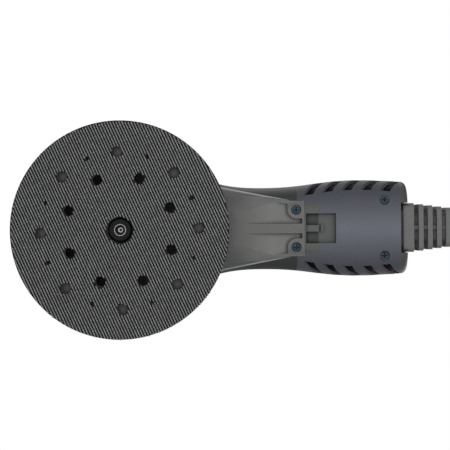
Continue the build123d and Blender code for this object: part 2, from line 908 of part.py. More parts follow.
def both_sides(distance, offset):
    """Two points placed alike on the left and on the right."""
    return [(distance, offset), (distance, -offset)]


with BuildPart() as lower_seat:
    with BuildSketch(motor_plane(handle_floor - seat_thickness)):
        with Locations(((cover_start + cover_end + seat_thickness) / 2, 0)):
            Rectangle(cover_end - cover_start + seat_thickness, 4 * cover_half)
    extrude(amount=seat_top - handle_floor + seat_thickness)
    with BuildSketch(motor_plane(handle_floor - seat_thickness)):
        with Locations(((catch_start + catch_end) / 2, 0)):
            Rectangle(catch_end - catch_start + 2 * catch_wall, 2 * (catch_half + catch_wall))
    extrude(amount=catch_top - handle_floor + seat_thickness)
    add(handle_form(part_gap, handle_back).part, mode=Mode.INTERSECT)
    add(head_space.part, mode=Mode.SUBTRACT)
    add(grip_layer.part, mode=Mode.SUBTRACT)

with BuildPart() as lower_shell:
    add(shell_blank.part)
    split(bisect_by=Plane.XY.offset(shell_split), keep=Keep.BOTTOM)
    add(lower_seat.part)
    # Standoffs of the board, the front pair also taking the neck screws.
    with BuildSketch(motor_plane(seat_bottom)):
        with Locations(*both_sides(neck_screw_x, neck_screw_y), *both_sides(standoff_x, standoff_y)):
            Circle(screw_boss / 2)
    extrude(amount=board_height - seat_bottom)
    # Bosses of the rear screws.
    with BuildSketch(motor_plane(boss_foot)):
        with Locations(*both_sides(rear_screw_x, rear_screw_y)):
            Circle(screw_boss / 2)
    extrude(amount=shell_split - boss_foot)
    # Saddle under the cable.
    with BuildSketch(cross_plane(clamp_front)):
        with Locations((0, (boss_foot + boot_height) / 2)):
            Rectangle(2 * clamp_half, boot_height - boss_foot)
        with Locations((0, boot_height)):
            Circle(boot_bore / 2, mode=Mode.SUBTRACT)
    extrude(amount=clamp_length)
    # Recess of the neck cover, catch pocket with its rib, screw holes.
    extrude(Plane.XY.offset(0) * cover_outline(part_gap), amount=seat_bottom, mode=Mode.SUBTRACT)
    with BuildSketch(motor_plane(0)):
        with Locations(((catch_start + catch_end) / 2, 0)):
            Rectangle(catch_end - catch_start, 2 * catch_half)
    extrude(amount=catch_floor, mode=Mode.SUBTRACT)
    with BuildSketch(motor_plane(handle_floor + catch_rib_drop)):
        with Locations(((catch_start + catch_rib_end) / 2, 0)):
            Rectangle(catch_rib_end - catch_start, 2 * catch_rib_half)
        with Locations((catch_rib_end + catch_notch + catch_step / 2, 0)):
            Rectangle(catch_step, 2 * catch_rib_half)
    extrude(amount=catch_floor - handle_floor - catch_rib_drop)
    with BuildSketch(motor_plane(0)):
        with Locations(*both_sides(neck_screw_x, neck_screw_y)):
            Circle(small_screw / 2)
    extrude(amount=board_height - seat_thickness, mode=Mode.SUBTRACT)
    with BuildSketch(motor_plane(0)):
        with Locations(*both_sides(rear_screw_x, rear_screw_y)):
            Circle(small_screw / 2)
    extrude(amount=shell_split, mode=Mode.SUBTRACT)
    with BuildSketch(motor_plane(0)):
        with Locations(*both_sides(rear_screw_x, rear_screw_y)):
            Circle(small_recess / 2)
    extrude(amount=handle_floor + small_recess_depth, mode=Mode.SUBTRACT)
    with BuildSketch(motor_plane(seat_bottom)):
        with Locations(*both_sides(clamp_front + clamp_length / 2, clamp_screw_y)):
            Circle(small_screw / 2)
    extrude(amount=boot_height - seat_bottom, mode=Mode.SUBTRACT)
    add(grip_layer.part, mode=Mode.SUBTRACT)
save(lower_shell, "lower_shell")


def button_holes(growth):
    """Plan of the three button openings."""
    with BuildSketch() as holes:
        with Locations((power_x, 0)):
            Circle(power_diameter / 2 + growth)
        with Locations(*both_sides(speed_x, speed_y)):
            Circle(speed_diameter / 2 + growth)
    return holes.sketch


ear_middle = lever_half + body_gap + ear_thickness / 2
with BuildPart() as upper_shell:
    add(shell_blank.part)
    split(bisect_by=Plane.XY.offset(shell_split), keep=Keep.TOP)
    # Ears of the lever's hinge.
    with BuildSketch(motor_plane(cavity_ceiling)):
        with Locations(*both_sides(pin_x, ear_middle)):
            Rectangle(ear_length, ear_thickness)
    extrude(amount=pin_height + barrel_radius - cavity_ceiling)
    # Bosses of the rear screws, ribs round the switch, posts of the button board.
    with BuildSketch(motor_plane(shell_split)):
        with Locations(*both_sides(rear_screw_x, rear_screw_y)):
            Circle(screw_boss / 2)
    extrude(amount=cavity_ceiling - shell_split)
    with BuildSketch(motor_plane(switch_top - switch_height / 2)):
        with Locations(*both_sides(post_x, switch_half + part_gap + switch_rib / 2)):
            Rectangle(switch_length, switch_rib)
    extrude(amount=cavity_ceiling - switch_top + switch_height / 2)
    with BuildSketch(motor_plane(button_board_top)):
        with Locations(*both_sides(panel_back + switch_rib / 2, panel_half - switch_rib)):
            Circle(switch_rib)
    extrude(amount=cavity_ceiling - button_board_top)
    with BuildSketch(motor_plane(panel_bottom)):
        with Locations(((panel_front + panel_back) / 2, 0)):
            Rectangle(panel_back - panel_front + 2 * part_gap, 2 * (panel_half + part_gap))
    extrude(amount=panel_top, mode=Mode.SUBTRACT)
    extrude(Plane.XY.offset(shell_split) * button_holes(button_gap), amount=handle_top, mode=Mode.SUBTRACT)
    with BuildSketch(motor_plane(cavity_ceiling - wall_inset)):
        with Locations((post_x, 0)):
            Circle(post_hole / 2)
    extrude(amount=handle_top, mode=Mode.SUBTRACT)
    with BuildSketch(Plane(origin=(pin_x, 0, pin_height), x_dir=(1, 0, 0), z_dir=(0, 1, 0))):
        Circle(pin_diameter / 2)
    extrude(amount=handle_top, both=True, mode=Mode.SUBTRACT)
    with BuildSketch(motor_plane(shell_split)):
        with Locations(*both_sides(rear_screw_x, rear_screw_y)):
            Circle(small_screw / 2)
    extrude(amount=rear_screw_length + handle_floor + small_recess_depth - shell_split, mode=Mode.SUBTRACT)
    add(grip_layer.part, mode=Mode.SUBTRACT)
save(upper_shell, "upper_shell")

# ---------------------------------------------------------------- soft grips
with BuildPart() as grip_notches:
    for side in (-1, 1):
        with BuildSketch(Plane(origin=(0, side * notch_inner, 0), x_dir=(1, 0, 0), z_dir=(0, -1, 0))):
            for index in range(notch_count):
                notch_x = notch_first + index * notch_pitch
                with BuildLine():
                    Polyline(
                        (notch_x, notch_bottom),
                        (notch_x + notch_length, notch_bottom),
                        (notch_x + notch_length + notch_lean, notch_bottom + notch_height),
                        (notch_x + notch_lean, notch_bottom + notch_height),
                        close=True,
                    )
                make_face()
        extrude(amount=-side * housing_radius)

with BuildPart() as lower_grip:
    add(grip_layer.part)
    split(bisect_by=Plane.XY.offset(shell_split), keep=Keep.BOTTOM)
    add(grip_notches.part, mode=Mode.SUBTRACT)
    with BuildSketch(motor_plane(0)):
        with Locations(*both_sides(rear_screw_x, rear_screw_y)):
            Circle(small_recess / 2)
    extrude(amount=handle_floor + small_recess_depth + grip_thickness, mode=Mode.SUBTRACT)
save(lower_grip, "lower_grip")

with BuildPart() as upper_grip:
    add(grip_layer.part)
    split(bisect_by=Plane.XY.offset(shell_split), keep=Keep.TOP)
save(upper_grip, "upper_grip")

# ---------------------------------------------------------------- neck cover and screws
with BuildPart() as cover_pockets:
    with BuildSketch(motor_plane(0)):
        with BuildLine():
            Polyline(
                (neck_screw_x, neck_screw_y - boss_radius),
                (pocket_end, neck_screw_y - boss_radius),
                (pocket_end, rib_half),
                (pocket_front, rib_half),
                (pocket_front, cover_mid_half - pocket_border),
                (neck_screw_x - boss_radius, cover_half - pocket_border),
                (neck_screw_x - boss_radius, neck_screw_y),
            )
            ThreePointArc(
                (neck_screw_x - boss_radius, neck_screw_y),
                (neck_screw_x - boss_radius / sqrt(2), neck_screw_y - boss_radius / sqrt(2)),
                (neck_screw_x, neck_screw_y - boss_radius),
            )
        make_face()
        mirror(about=Plane.XZ)
    extrude(amount=seat_bottom)
    with BuildSketch(Plane.XZ):
        with BuildLine():
            Polyline(
                (pocket_front, 0),
                (pocket_front, handle_floor),
                (pocket_end, handle_floor + pocket_depth),
                (pocket_end, 0),
                close=True,
            )
        make_face()
    extrude(amount=2 * cover_front_half, both=True, mode=Mode.INTERSECT)

with BuildPart() as neck_cover:
    extrude(cover_outline(0), amount=seat_bottom)
    add(outer_form.part, mode=Mode.INTERSECT)
    add(head_space.part, mode=Mode.SUBTRACT)
    add(cover_pockets.part, mode=Mode.SUBTRACT)
    with BuildSketch(motor_plane(0)):
        with Locations(*both_sides(neck_screw_x, neck_screw_y)):
            Circle(small_recess / 2)
    extrude(amount=handle_floor + small_recess_depth, mode=Mode.SUBTRACT)
    with BuildSketch(motor_plane(0)):
        with Locations(*both_sides(neck_screw_x, neck_screw_y)):
            Circle(small_screw / 2)
    extrude(amount=seat_bottom, mode=Mode.SUBTRACT)
save(neck_cover, "neck_cover")


def cross_head_screws(places, seat, length):
    """Cross-head screws pointing up, their heads seated at a height."""
    with BuildPart() as screws:
        with BuildSketch(motor_plane(seat - small_head_height)):
            with Locations(*places):
                Circle(small_head / 2)
        extrude(amount=small_head_height)
        with BuildSketch(motor_plane(seat)):
            with Locations(*places):
                Circle(small_screw / 2)
        extrude(amount=length)
        with BuildSketch(motor_plane(seat - small_head_height)):
            with Locations(*places):
                Rectangle(cross_length, cross_width)
                Rectangle(cross_width, cross_length)
        extrude(amount=cross_depth, mode=Mode.SUBTRACT)
    return screws


neck_screws = cross_head_screws(
    both_sides(neck_screw_x, neck_screw_y),
    handle_floor + small_recess_depth,
    board_height - seat_thickness - handle_floor - small_recess_depth,
)
save(neck_screws, "neck_screws")

shell_screws = cross_head_screws(
    both_sides(rear_screw_x, rear_screw_y), handle_floor + small_recess_depth, rear_screw_length
)
save(shell_screws, "shell_screws")

# ---------------------------------------------------------------- electronics
with BuildPart() as control_board:
    with BuildSketch(motor_plane(board_height)):
        with Locations(((board_front + board_back) / 2, 0)):
            Rectangle(board_back - board_front, 2 * board_half)
    extrude(amount=board_thickness)
save(control_board, "control_board")

with BuildPart() as board_capacitors:
    with BuildSketch(cross_plane(capacitor_front)):
        with Locations(
            (capacitor_y, board_top + capacitor_diameter / 2), (-capacitor_y, board_top + capacitor_diameter / 2)
        ):
            Circle(capacitor_diameter / 2)
    extrude(amount=capacitor_length)
save(board_capacitors, "board_capacitors")

with BuildPart() as board_heatsink:
    with BuildSketch(cross_plane(heatsink_front)):
        with Locations((0, board_top + heatsink_base / 2)):
            Rectangle(2 * heatsink_half, heatsink_base)
        fin_pitch = (2 * heatsink_half - fin_thickness) / (fin_count - 1)
        with Locations((0, board_top + heatsink_height / 2)):
            with GridLocations(fin_pitch, 0, fin_count, 1):
                Rectangle(fin_thickness, heatsink_height)
    extrude(amount=heatsink_length)
save(board_heatsink, "board_heatsink")

with BuildPart() as terminal_block:
    with BuildSketch(motor_plane(board_top)):
        with Locations((terminal_front + terminal_length / 2, 0)):
            Rectangle(terminal_length, 2 * terminal_half)
    extrude(amount=terminal_height)
    with BuildSketch(motor_plane(board_top + terminal_height)):
        with Locations(*both_sides(terminal_front + terminal_length / 2, terminal_half / 2)):
            Circle(terminal_screw / 2)
    extrude(amount=-terminal_height / 2, mode=Mode.SUBTRACT)
save(terminal_block, "terminal_block")

lead_start = stator_diameter / 2 - stator_yoke - air_gap
lead_height = (sensor_top + stator_bottom) / 2
with BuildPart() as motor_leads:
    for lane in (-lead_spacing, 0, lead_spacing):
        with BuildLine() as lead_path:
            FilletPolyline(
                (lead_start, lane, lead_height),
                (housing_radius + lead_bend, lane, lead_height),
                (board_front - lead_bend, lane, board_top + lead_diameter / 2),
                (heatsink_front, lane, board_top + lead_diameter / 2),
                radius=lead_bend,
            )
        with BuildSketch(cross_plane(lead_start)):
            with Locations((lane, lead_height)):
                Circle(lead_diameter / 2)
        sweep(path=lead_path.line)
save(motor_leads, "motor_leads")

with BuildPart() as lever_switch:
    with BuildSketch(motor_plane(switch_top - switch_height)):
        with Locations((post_x, 0)):
            Rectangle(switch_length, 2 * switch_half)
    extrude(amount=switch_height)
save(lever_switch, "lever_switch")

# ---------------------------------------------------------------- paddle lever
pin_plane = Plane(origin=(pin_x, 0, pin_height), x_dir=(1, 0, 0), z_dir=(0, -1, 0))
with BuildPart() as paddle_lever:
    with BuildSketch(motor_plane(lever_bottom)):
        with Locations(((pin_x + lever_end) / 2, 0)):
            Rectangle(lever_end - pin_x, 2 * lever_half)
    extrude(amount=lever_thickness)
    fillet(paddle_lever.edges().filter_by(Axis.Z).group_by(Axis.X)[-1], lever_corner)
    fillet(paddle_lever.faces().sort_by(Axis.Z)[-1].edges(), lever_edge)
    with BuildSketch(pin_plane):
        Circle(barrel_radius)
    extrude(amount=lever_half, both=True)
    with BuildSketch(motor_plane(lever_bottom)):
        with Locations((post_x, 0)):
            Circle(post_diameter / 2)
    extrude(amount=-post_length)
    with BuildSketch(pin_plane):
        Circle(pin_diameter / 2 + running_fit)
    extrude(amount=2 * lever_half, both=True, mode=Mode.SUBTRACT)
    with BuildSketch(pin_plane):
        Circle(barrel_radius + part_gap)
    extrude(amount=spring_half + body_gap, both=True, mode=Mode.SUBTRACT)
save(paddle_lever, "paddle_lever")

with BuildPart() as lever_pin:
    with BuildSketch(pin_plane):
        Circle(pin_diameter / 2)
    extrude(amount=lever_half + body_gap + ear_thickness, both=True)
save(lever_pin, "lever_pin")

coil_ring_radius = pin_diameter / 2 + part_gap + spring_wire / 2
spring_turns = int(2 * spring_half / spring_wire)
with BuildPart() as lever_spring:
    with BuildSketch(Plane(origin=(pin_x, 0, pin_height), x_dir=(0, 1, 0), z_dir=(1, 0, 0))):
        with Locations((0, coil_ring_radius)):
            Rectangle(2 * spring_half - spring_wire, spring_wire / 2)
            with GridLocations(spring_wire, 0, spring_turns, 1):
                Circle(spring_wire / 2)
    revolve(axis=Axis((pin_x, 0, pin_height), (0, 1, 0)))
save(lever_spring, "lever_spring")

# ---------------------------------------------------------------- buttons
with BuildPart() as button_panel:
    with BuildSketch(motor_plane(panel_bottom)):
        with Locations(((panel_front + panel_back) / 2, 0)):
            RectangleRounded(panel_back - panel_front, 2 * panel_half, panel_rise)
    extrude(amount=panel_top - panel_bottom)
    chamfer(button_panel.edges().group_by(Axis.Z)[-1], panel_rise / 4)
    extrude(Plane.XY.offset(panel_bottom) * button_holes(button_gap), amount=handle_top, mode=Mode.SUBTRACT)
    with BuildSketch(motor_plane(panel_bottom)):
        with Locations((lens_x, 0)):
            Rectangle(lens_length, lens_width)
    extrude(amount=handle_top, mode=Mode.SUBTRACT)
save(button_panel, "button_panel")

with BuildPart() as status_lens:
    with BuildSketch(motor_plane(panel_bottom)):
        with Locations((lens_x, 0)):
            Rectangle(lens_length, lens_width)
    extrude(amount=panel_top - panel_bottom)
save(status_lens, "status_lens")


def push_button(place, diameter):
    """A round button with a flange that keeps it from falling out of the panel."""
    with BuildPart() as button:
        with BuildSketch(motor_plane(button_foot)):
            with Locations(place):
                Circle(diameter / 2 + button_flange)
        extrude(amount=button_flange_height)
        with BuildSketch(motor_plane(flange_ceiling)):
            with Locations(place):
                Circle(diameter / 2)
        extrude(amount=button_top - flange_ceiling)
        fillet(button.edges().group_by(Axis.Z)[-1], button_rise / 3)
    return button


power_button = push_button((power_x, 0), power_diameter)
save(power_button, "power_button")
speed_up_button = push_button((speed_x, speed_y), speed_diameter)
save(speed_up_button, "speed_up_button")
speed_down_button = push_button((speed_x, -speed_y), speed_diameter)
save(speed_down_button, "speed_down_button")

with BuildPart() as button_board:
    with BuildSketch(motor_plane(button_board_top)):
        with Locations(((panel_front + panel_back) / 2 + switch_rib, 0)):
            Rectangle(panel_back - panel_front + switch_rib, 2 * panel_half)
    extrude(amount=-board_thickness)
    extrude(
        Plane.XY.offset(button_board_top) * button_holes(-button_flange * 2), amount=button_switch_height
    )
save(button_board, "button_board")

# ---------------------------------------------------------------- cable boot and clamp
boot_ratio = collar_tall / collar_width
boot_blocks = [
    (flange_front, flange_width, flange_tall, cavity_back - flange_front),
    (cavity_back, boot_neck_width, boot_neck_tall, collar_front - cavity_back),
    (collar_front, collar_width, collar_tall, collar_back - collar_front),
]
boot_links = []
link_start = collar_back
for index in range(ring_count):
    ring_width = ring_first_width - index * ring_step
    ring_x = ring_front + index * ring_pitch
    boot_blocks.append((ring_x, ring_width, ring_width * boot_ratio, ring_thickness))
    boot_links.append((link_start, ring_width, ring_x - link_start))
    link_start = ring_x + ring_thickness
nose_width = ring_first_width - ring_count * ring_step

with BuildPart() as cable_boot:
    for distance, width, tall, length in boot_blocks:
        with BuildSketch(cross_plane(distance)):
            with Locations((0, boot_height)):
                RectangleRounded(width, tall, boot_corner)
        extrude(amount=length)
    for distance, width, length in boot_links:
        inner_width = min(core_width, width - core_margin)
        with BuildSketch(cross_plane(distance)):
            with Locations((0, boot_height)):
                RectangleRounded(inner_width, inner_width * boot_ratio, boot_corner)
                Rectangle(core_rib, width * boot_ratio - 2 * side_web)
                Rectangle(width - 2 * side_web, inner_width * boot_ratio / 2)
        extrude(amount=length)
    with BuildSketch(cross_plane(link_start)):
        with Locations((0, boot_height)):
            Circle(nose_width / 2)
    extrude(amount=nose_length)
    chamfer(cable_boot.edges().group_by(Axis.X)[-1], nose_chamfer)
    with BuildSketch(cross_plane(flange_front)):
        with Locations((0, boot_height)):
            Circle(boot_bore / 2)
    extrude(amount=boot_back - flange_front, mode=Mode.SUBTRACT)
save(cable_boot, "cable_boot")

with BuildPart() as supply_cable:
    with BuildSketch(cross_plane(terminal_front + terminal_length)):
        with Locations((0, boot_height)):
            Circle(cord_diameter / 2)
    extrude(amount=boot_back - terminal_front - terminal_length)
save(supply_cable, "supply_cable")

with BuildPart() as cable_clamp:
    with BuildSketch(cross_plane(clamp_front)):
        with Locations((0, boot_height + (boot_bore / 2 + clamp_cover) / 2)):
            Rectangle(2 * clamp_half, boot_bore / 2 + clamp_cover)
        with Locations((0, boot_height)):
            Circle(boot_bore / 2, mode=Mode.SUBTRACT)
    extrude(amount=clamp_length)
    with BuildSketch(motor_plane(boot_height)):
        with Locations(*both_sides(clamp_front + clamp_length / 2, clamp_screw_y)):
            Circle(small_screw / 2)
    extrude(amount=boot_bore + clamp_cover, mode=Mode.SUBTRACT)
save(cable_clamp, "cable_clamp")

clamp_top = boot_height + boot_bore / 2 + clamp_cover
with BuildPart() as clamp_screws:
    with BuildSketch(motor_plane(clamp_top)):
        with Locations(*both_sides(clamp_front + clamp_length / 2, clamp_screw_y)):
            Circle(small_head / 2)
    extrude(amount=small_head_height)
    with BuildSketch(motor_plane(clamp_top)):
        with Locations(*both_sides(clamp_front + clamp_length / 2, clamp_screw_y)):
            Circle(small_screw / 2)
    extrude(amount=boot_height - clamp_screw_depth - clamp_top)
save(clamp_screws, "clamp_screws")

# ---------------------------------------------------------------- cord, coil and plug
route = [Vector(boot_back, 0, boot_height)]
route += [Vector(boot_back + x, y, z) for x, y, z in cord_points]


def bend_radius(before, corner, after):
    """Largest tidy arc at a corner of the cord: 0.45 of the shorter run over tan of half the turn."""
    arriving = corner - before
    leaving = after - corner
    turn = radians(arriving.get_angle(leaving))
    return 0.45 * min(arriving.length, leaving.length) / tan(turn / 2)


cord_radii = [bend_radius(*route[index - 1:index + 2]) for index in range(1, len(route) - 1)]
print("cord radii:", [round(radius, 1) for radius in cord_radii])

with BuildPart() as cord_tube:
    with BuildLine() as cord_path:
        FilletPolyline(*route, radius=cord_radii)
    with BuildSketch(Plane(origin=route[0], z_dir=cord_path.line % 0)):
        Circle(cord_diameter / 2)
    sweep(path=cord_path.line)
save(cord_tube, "cord_tube")
cord_length = sum(edge.length for edge in cord_path.line.edges())
plain_volume = pi * cord_diameter ** 2 / 4 * cord_length
print("cord length:", round(cord_length, 1), "volume ratio:", round(cord_tube.part.volume / plain_volume, 4))

# The coil stands to the left of the cord's last run, which meets its outer turn tangentially.
coil_width = coil_columns * cord_diameter
coil_height = coil_levels * cord_diameter
coil_outer_turn = coil_turn_radius + (coil_width - cord_diameter) / 2
last_run = (route[-1] - route[-2]).normalized()
coil_x = route[-1].X - last_run.Y * coil_outer_turn
coil_y = route[-1].Y + last_run.X * coil_outer_turn
coil_axis = Axis((coil_x, coil_y, 0), (0, 0, 1))


def coil_plane(angle):
    """Upright plane through the coil's middle, its local X pointing outwards at an angle."""
    outward = (cos(radians(angle)), sin(radians(angle)), 0)
    along = (-sin(radians(angle)), cos(radians(angle)), 0)
    return Plane(origin=(coil_x, coil_y, 0), x_dir=outward, z_dir=along)


with BuildPart() as cord_coil:
    with BuildSketch(coil_plane(0)):
        with Locations((coil_turn_radius, -ground_gap - coil_height / 2)):
            RectangleRounded(coil_width, coil_height, coil_corner)
    revolve(axis=coil_axis)
save(cord_coil, "cord_coil")

with BuildPart() as coil_tie:
    with BuildSketch(coil_plane(tie_angle)):
        with Locations((coil_turn_radius, -ground_gap - (coil_height + tie_thickness) / 2)):
            RectangleRounded(coil_width + 2 * tie_thickness, coil_height + tie_thickness, coil_corner)
    extrude(amount=tie_width / 2, both=True)
    add(cord_coil.part, mode=Mode.SUBTRACT)
save(coil_tie, "coil_tie")


def plug_plane(along):
    """Plane across the plug, at a distance along its lead from the coil's tangent point."""
    outward = Vector(cos(radians(plug_angle)), sin(radians(plug_angle)), 0)
    heading = Vector(-sin(radians(plug_angle)), cos(radians(plug_angle)), 0)
    origin = Vector(coil_x, coil_y, 0) + outward * coil_outer_turn + heading * along
    return Plane(origin=origin, x_dir=outward, z_dir=heading)


plug_axis_height = ground_gap + plug_height / 2
plug_front = plug_start + plug_neck_length
with BuildPart() as plug_body:
    with BuildSketch(plug_plane(plug_start)):
        with Locations((0, -plug_axis_height - plug_neck_rise)):
            Circle(plug_neck_width / 2)
    with BuildSketch(plug_plane(plug_front)):
        with Locations((0, -plug_axis_height)):
            Circle(plug_height / 2 - ground_gap)
    loft()
    with BuildSketch(plug_plane(plug_front)):
        with Locations((0, -plug_axis_height)):
            RectangleRounded(plug_width, plug_height, plug_corner)
    extrude(amount=plug_length)
save(plug_body, "plug_body")

with BuildPart() as plug_pins:
    with BuildSketch(plug_plane(plug_front + plug_length)):
        with Locations((0, -plug_axis_height)):
            with GridLocations(plug_pin_spacing, 0, 2, 1):
                Circle(plug_pin_diameter / 2)
    extrude(amount=plug_pin_length)
    chamfer(plug_pins.edges().filter_by(GeomType.CIRCLE).sort_by_distance(Vector(coil_x, coil_y, 0))[-2:],
            plug_pin_diameter / 8)
save(plug_pins, "plug_pins")
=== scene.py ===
"""Looks of a corded orbital sander: finishes, hook-and-loop face, button marks, cord, studio and camera."""

import json
import logging
import math
from dataclasses import dataclass, field
from enum import Enum
from typing import Any, ClassVar, Sequence

import bmesh
import bpy
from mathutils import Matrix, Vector


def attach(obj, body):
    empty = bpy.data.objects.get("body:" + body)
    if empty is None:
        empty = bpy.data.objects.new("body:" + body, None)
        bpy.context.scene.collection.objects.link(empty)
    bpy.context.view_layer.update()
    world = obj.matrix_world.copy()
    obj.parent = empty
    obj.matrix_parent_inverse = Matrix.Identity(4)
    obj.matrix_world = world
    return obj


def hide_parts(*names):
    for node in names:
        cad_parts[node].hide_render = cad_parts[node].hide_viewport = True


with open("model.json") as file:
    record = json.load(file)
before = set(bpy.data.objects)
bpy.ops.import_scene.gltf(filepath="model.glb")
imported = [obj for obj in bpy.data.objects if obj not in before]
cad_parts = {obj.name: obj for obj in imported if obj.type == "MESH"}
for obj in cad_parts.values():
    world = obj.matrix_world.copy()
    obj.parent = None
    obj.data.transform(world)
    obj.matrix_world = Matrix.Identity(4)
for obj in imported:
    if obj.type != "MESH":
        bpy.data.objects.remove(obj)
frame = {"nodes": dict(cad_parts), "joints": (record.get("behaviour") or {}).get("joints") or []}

Socket = bpy.types.NodeSocket

log = logging.getLogger("sander")
MM = 0.001
# Attribute of each hook's tone: partly random, partly painted light on narrow hooks and painted shade on wide
# ones.
HOOK_TONE_AND_LIGHT = "tone"
HOOK_WIDE = "wide"

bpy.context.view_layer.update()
PAD_X = next(joint["pos_m"][0] for joint in frame["joints"] if joint["name"] == "pad_spin")


class Body(str, Enum):
    """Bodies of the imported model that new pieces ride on."""

    HOUSING = "housing"
    PAD = "pad"
    POWER = "power_key"
    SPEED_UP = "speed_up_key"
    SPEED_DOWN = "speed_down_key"


class MarkShape(Enum):
    """Raised signs on the buttons."""

    PLUS = "plus"
    MINUS = "minus"
    POWER = "power"


def linear(colour: Sequence[int]) -> tuple[float, float, float, float]:
    """Turns a screen colour into the linear colour that shaders use.

    Args:
        colour: Red, green and blue from 0 to 255.

    Returns:
        Linear red, green, blue and full alpha.
    """
    shares = [value / 255 for value in colour]
    values = [share / 12.92 if share <= 0.04045 else ((share + 0.055) / 1.055) ** 2.4 for share in shares]
    return values[0], values[1], values[2], 1.0


def node_heights(node: str) -> tuple[float, float]:
    """Measures how low and how high a CAD node reaches.

    Args:
        node: Name of the node.

    Returns:
        Lowest and highest height in metres.
    """
    heights = [vertex.co.z for vertex in frame["nodes"][node].data.vertices]
    return min(heights), max(heights)


def add_object(name: str, data: Any) -> bpy.types.Object:
    """Adds an object to the scene.

    Args:
        name: Name of the object.
        data: Its mesh, curve, light or camera.

    Returns:
        The new object.
    """
    thing = bpy.data.objects.new(name, data)
    bpy.context.scene.collection.objects.link(thing)
    return thing


def closed_mesh(name: str, shape: bmesh.types.BMesh) -> bpy.types.Mesh:
    """Turns an edited shape into a mesh whose faces point outwards, and frees the shape.

    Args:
        name: Name of the mesh.
        shape: The shape, which is closed.

    Returns:
        The mesh.
    """
    bmesh.ops.recalc_face_normals(shape, faces=shape.faces)
    mesh = bpy.data.meshes.new(name)
    shape.to_mesh(mesh)
    shape.free()
    return mesh


class NodeWriter:
    """Adds nodes to a tree and links them."""

    def __init__(self, tree: bpy.types.NodeTree) -> None:
        """Keeps the tree that is written to."""
        self.tree = tree

    def add(self, kind: str, inputs: dict[Any, Any] | None = None, **settings: Any) -> bpy.types.Node:
        """Adds one node, sets its options and fills its inputs.

        Args:
            kind: Type name of the node.
            inputs: Values or output sockets by input name or number.
            settings: Options of the node.

        Returns:
            The new node.
        """
        node = self.tree.nodes.new(kind)
        for name, value in settings.items():
            setattr(node, name, value)
        for name, value in (inputs or {}).items():
            if isinstance(value, Socket):
                self.link(value, node.inputs[name])
            else:
                node.inputs[name].default_value = value
        return node

    def link(self, source: Socket, target: Socket) -> None:
        """Links an output to an input, in place of what fed it."""
        self.tree.links.new(source, target)

    def raise_input(self, target: Socket, value: Socket) -> None:
        """Adds a value to what already feeds an input."""
        self.link(self.math("ADD", target.links[0].from_socket, value), target)

    def math(self, operation: str, first: Any, second: Any = 0.0, clamp: bool = False) -> Socket:
        """Adds a math node, whose result can be held between 0 and 1."""
        inputs = {0: first, 1: second}
        return self.add("ShaderNodeMath", inputs, operation=operation, use_clamp=clamp).outputs[0]

    def total(self, first: Any, *others: Any) -> Socket:
        """Adds up values.

        Args:
            first: First value or socket.
            others: The other values or sockets.

        Returns:
            The sum's socket.
        """
        for other in others:
            first = self.math("ADD", first, other)
        return first

    def product(self, first: Any, *others: Any) -> Socket:
        """Multiplies values.

        Args:
            first: First value or socket.
            others: The other values or sockets.

        Returns:
            The product's socket.
        """
        for other in others:
            first = self.math("MULTIPLY", first, other)
        return first

    def between(self, value: Any, low: float, high: float) -> Socket:
        """Gives 1 where a value lies between two limits, and 0 elsewhere."""
        return self.product(self.math("GREATER_THAN", value, low), self.math("LESS_THAN", value, high))

    def ramp(self, value: Any, start: float, length: float) -> Socket:
        """Gives a rise from 0 at a start to 1 at a length beyond it, or before it where that is negative."""
        return self.math("DIVIDE", self.math("SUBTRACT", value, start), length, clamp=True)

    def swing(self, value: Any, amount: Any) -> Socket:
        """Turns a value from 0 to 1 into a swing to both sides of 0."""
        return self.product(self.math("SUBTRACT", value, 0.5), amount)

    def vector(self, operation: str, first: Any, second: Any) -> Socket:
        """Adds a vector math node on two vectors."""
        return self.add("ShaderNodeVectorMath", {0: first, 1: second}, operation=operation).outputs[0]

    def scaled(self, vector: Any, share: Any) -> Socket:
        """Scales a vector or a colour."""
        return self.add("ShaderNodeVectorMath", {0: vector, "Scale": share}, operation="SCALE").outputs[0]

    def place(self) -> Socket:
        """Gives the place of the shaded point in metres."""
        return self.add("ShaderNodeTexCoord").outputs["Object"]

    def parts(self, vector: Any) -> Any:
        """Splits a vector into its X, Y and Z."""
        return self.add("ShaderNodeSeparateXYZ", {0: vector}).outputs

    def noise(self, place: Any, scale: Any, detail: float) -> Socket:
        """Adds a noise pattern, whose values lie around 0.5."""
        inputs = {"Vector": place, "Scale": scale, "Detail": detail}
        return self.add("ShaderNodeTexNoise", inputs).outputs["Fac"]

    def group(self, tree: bpy.types.NodeTree, inputs: dict[Any, Any]) -> bpy.types.Node:
        """Places a node group."""
        return self.add("ShaderNodeGroup", inputs, node_tree=tree)


def clear_tree(owner: bpy.types.Material | bpy.types.World) -> NodeWriter:
    """Empties the node tree of a material or world.

    Args:
        owner: The material or world.

    Returns:
        The writer for its tree.
    """
    owner.use_nodes = True
    owner.node_tree.nodes.clear()
    return NodeWriter(owner.node_tree)


def new_group(
    name: str, inputs: dict[str, tuple[str, Any]], outputs: dict[str, str]
) -> tuple[NodeWriter, Any, Any]:
    """Makes an empty shader group with its sockets.

    Args:
        name: Name of the group.
        inputs: Socket type and starting value by input name.
        outputs: Socket type by output name.

    Returns:
        The writer for the group, the sockets of what it is given and the sockets of its result.
    """
    tree = bpy.data.node_groups.new(name, "ShaderNodeTree")
    for title, (kind, value) in inputs.items():
        socket = tree.interface.new_socket(name=title, in_out="INPUT", socket_type=kind)
        socket.default_value = value
    for title, kind in outputs.items():
        tree.interface.new_socket(name=title, in_out="OUTPUT", socket_type=kind)
    writer = NodeWriter(tree)
    return writer, writer.add("NodeGroupInput").outputs, writer.add("NodeGroupOutput").inputs


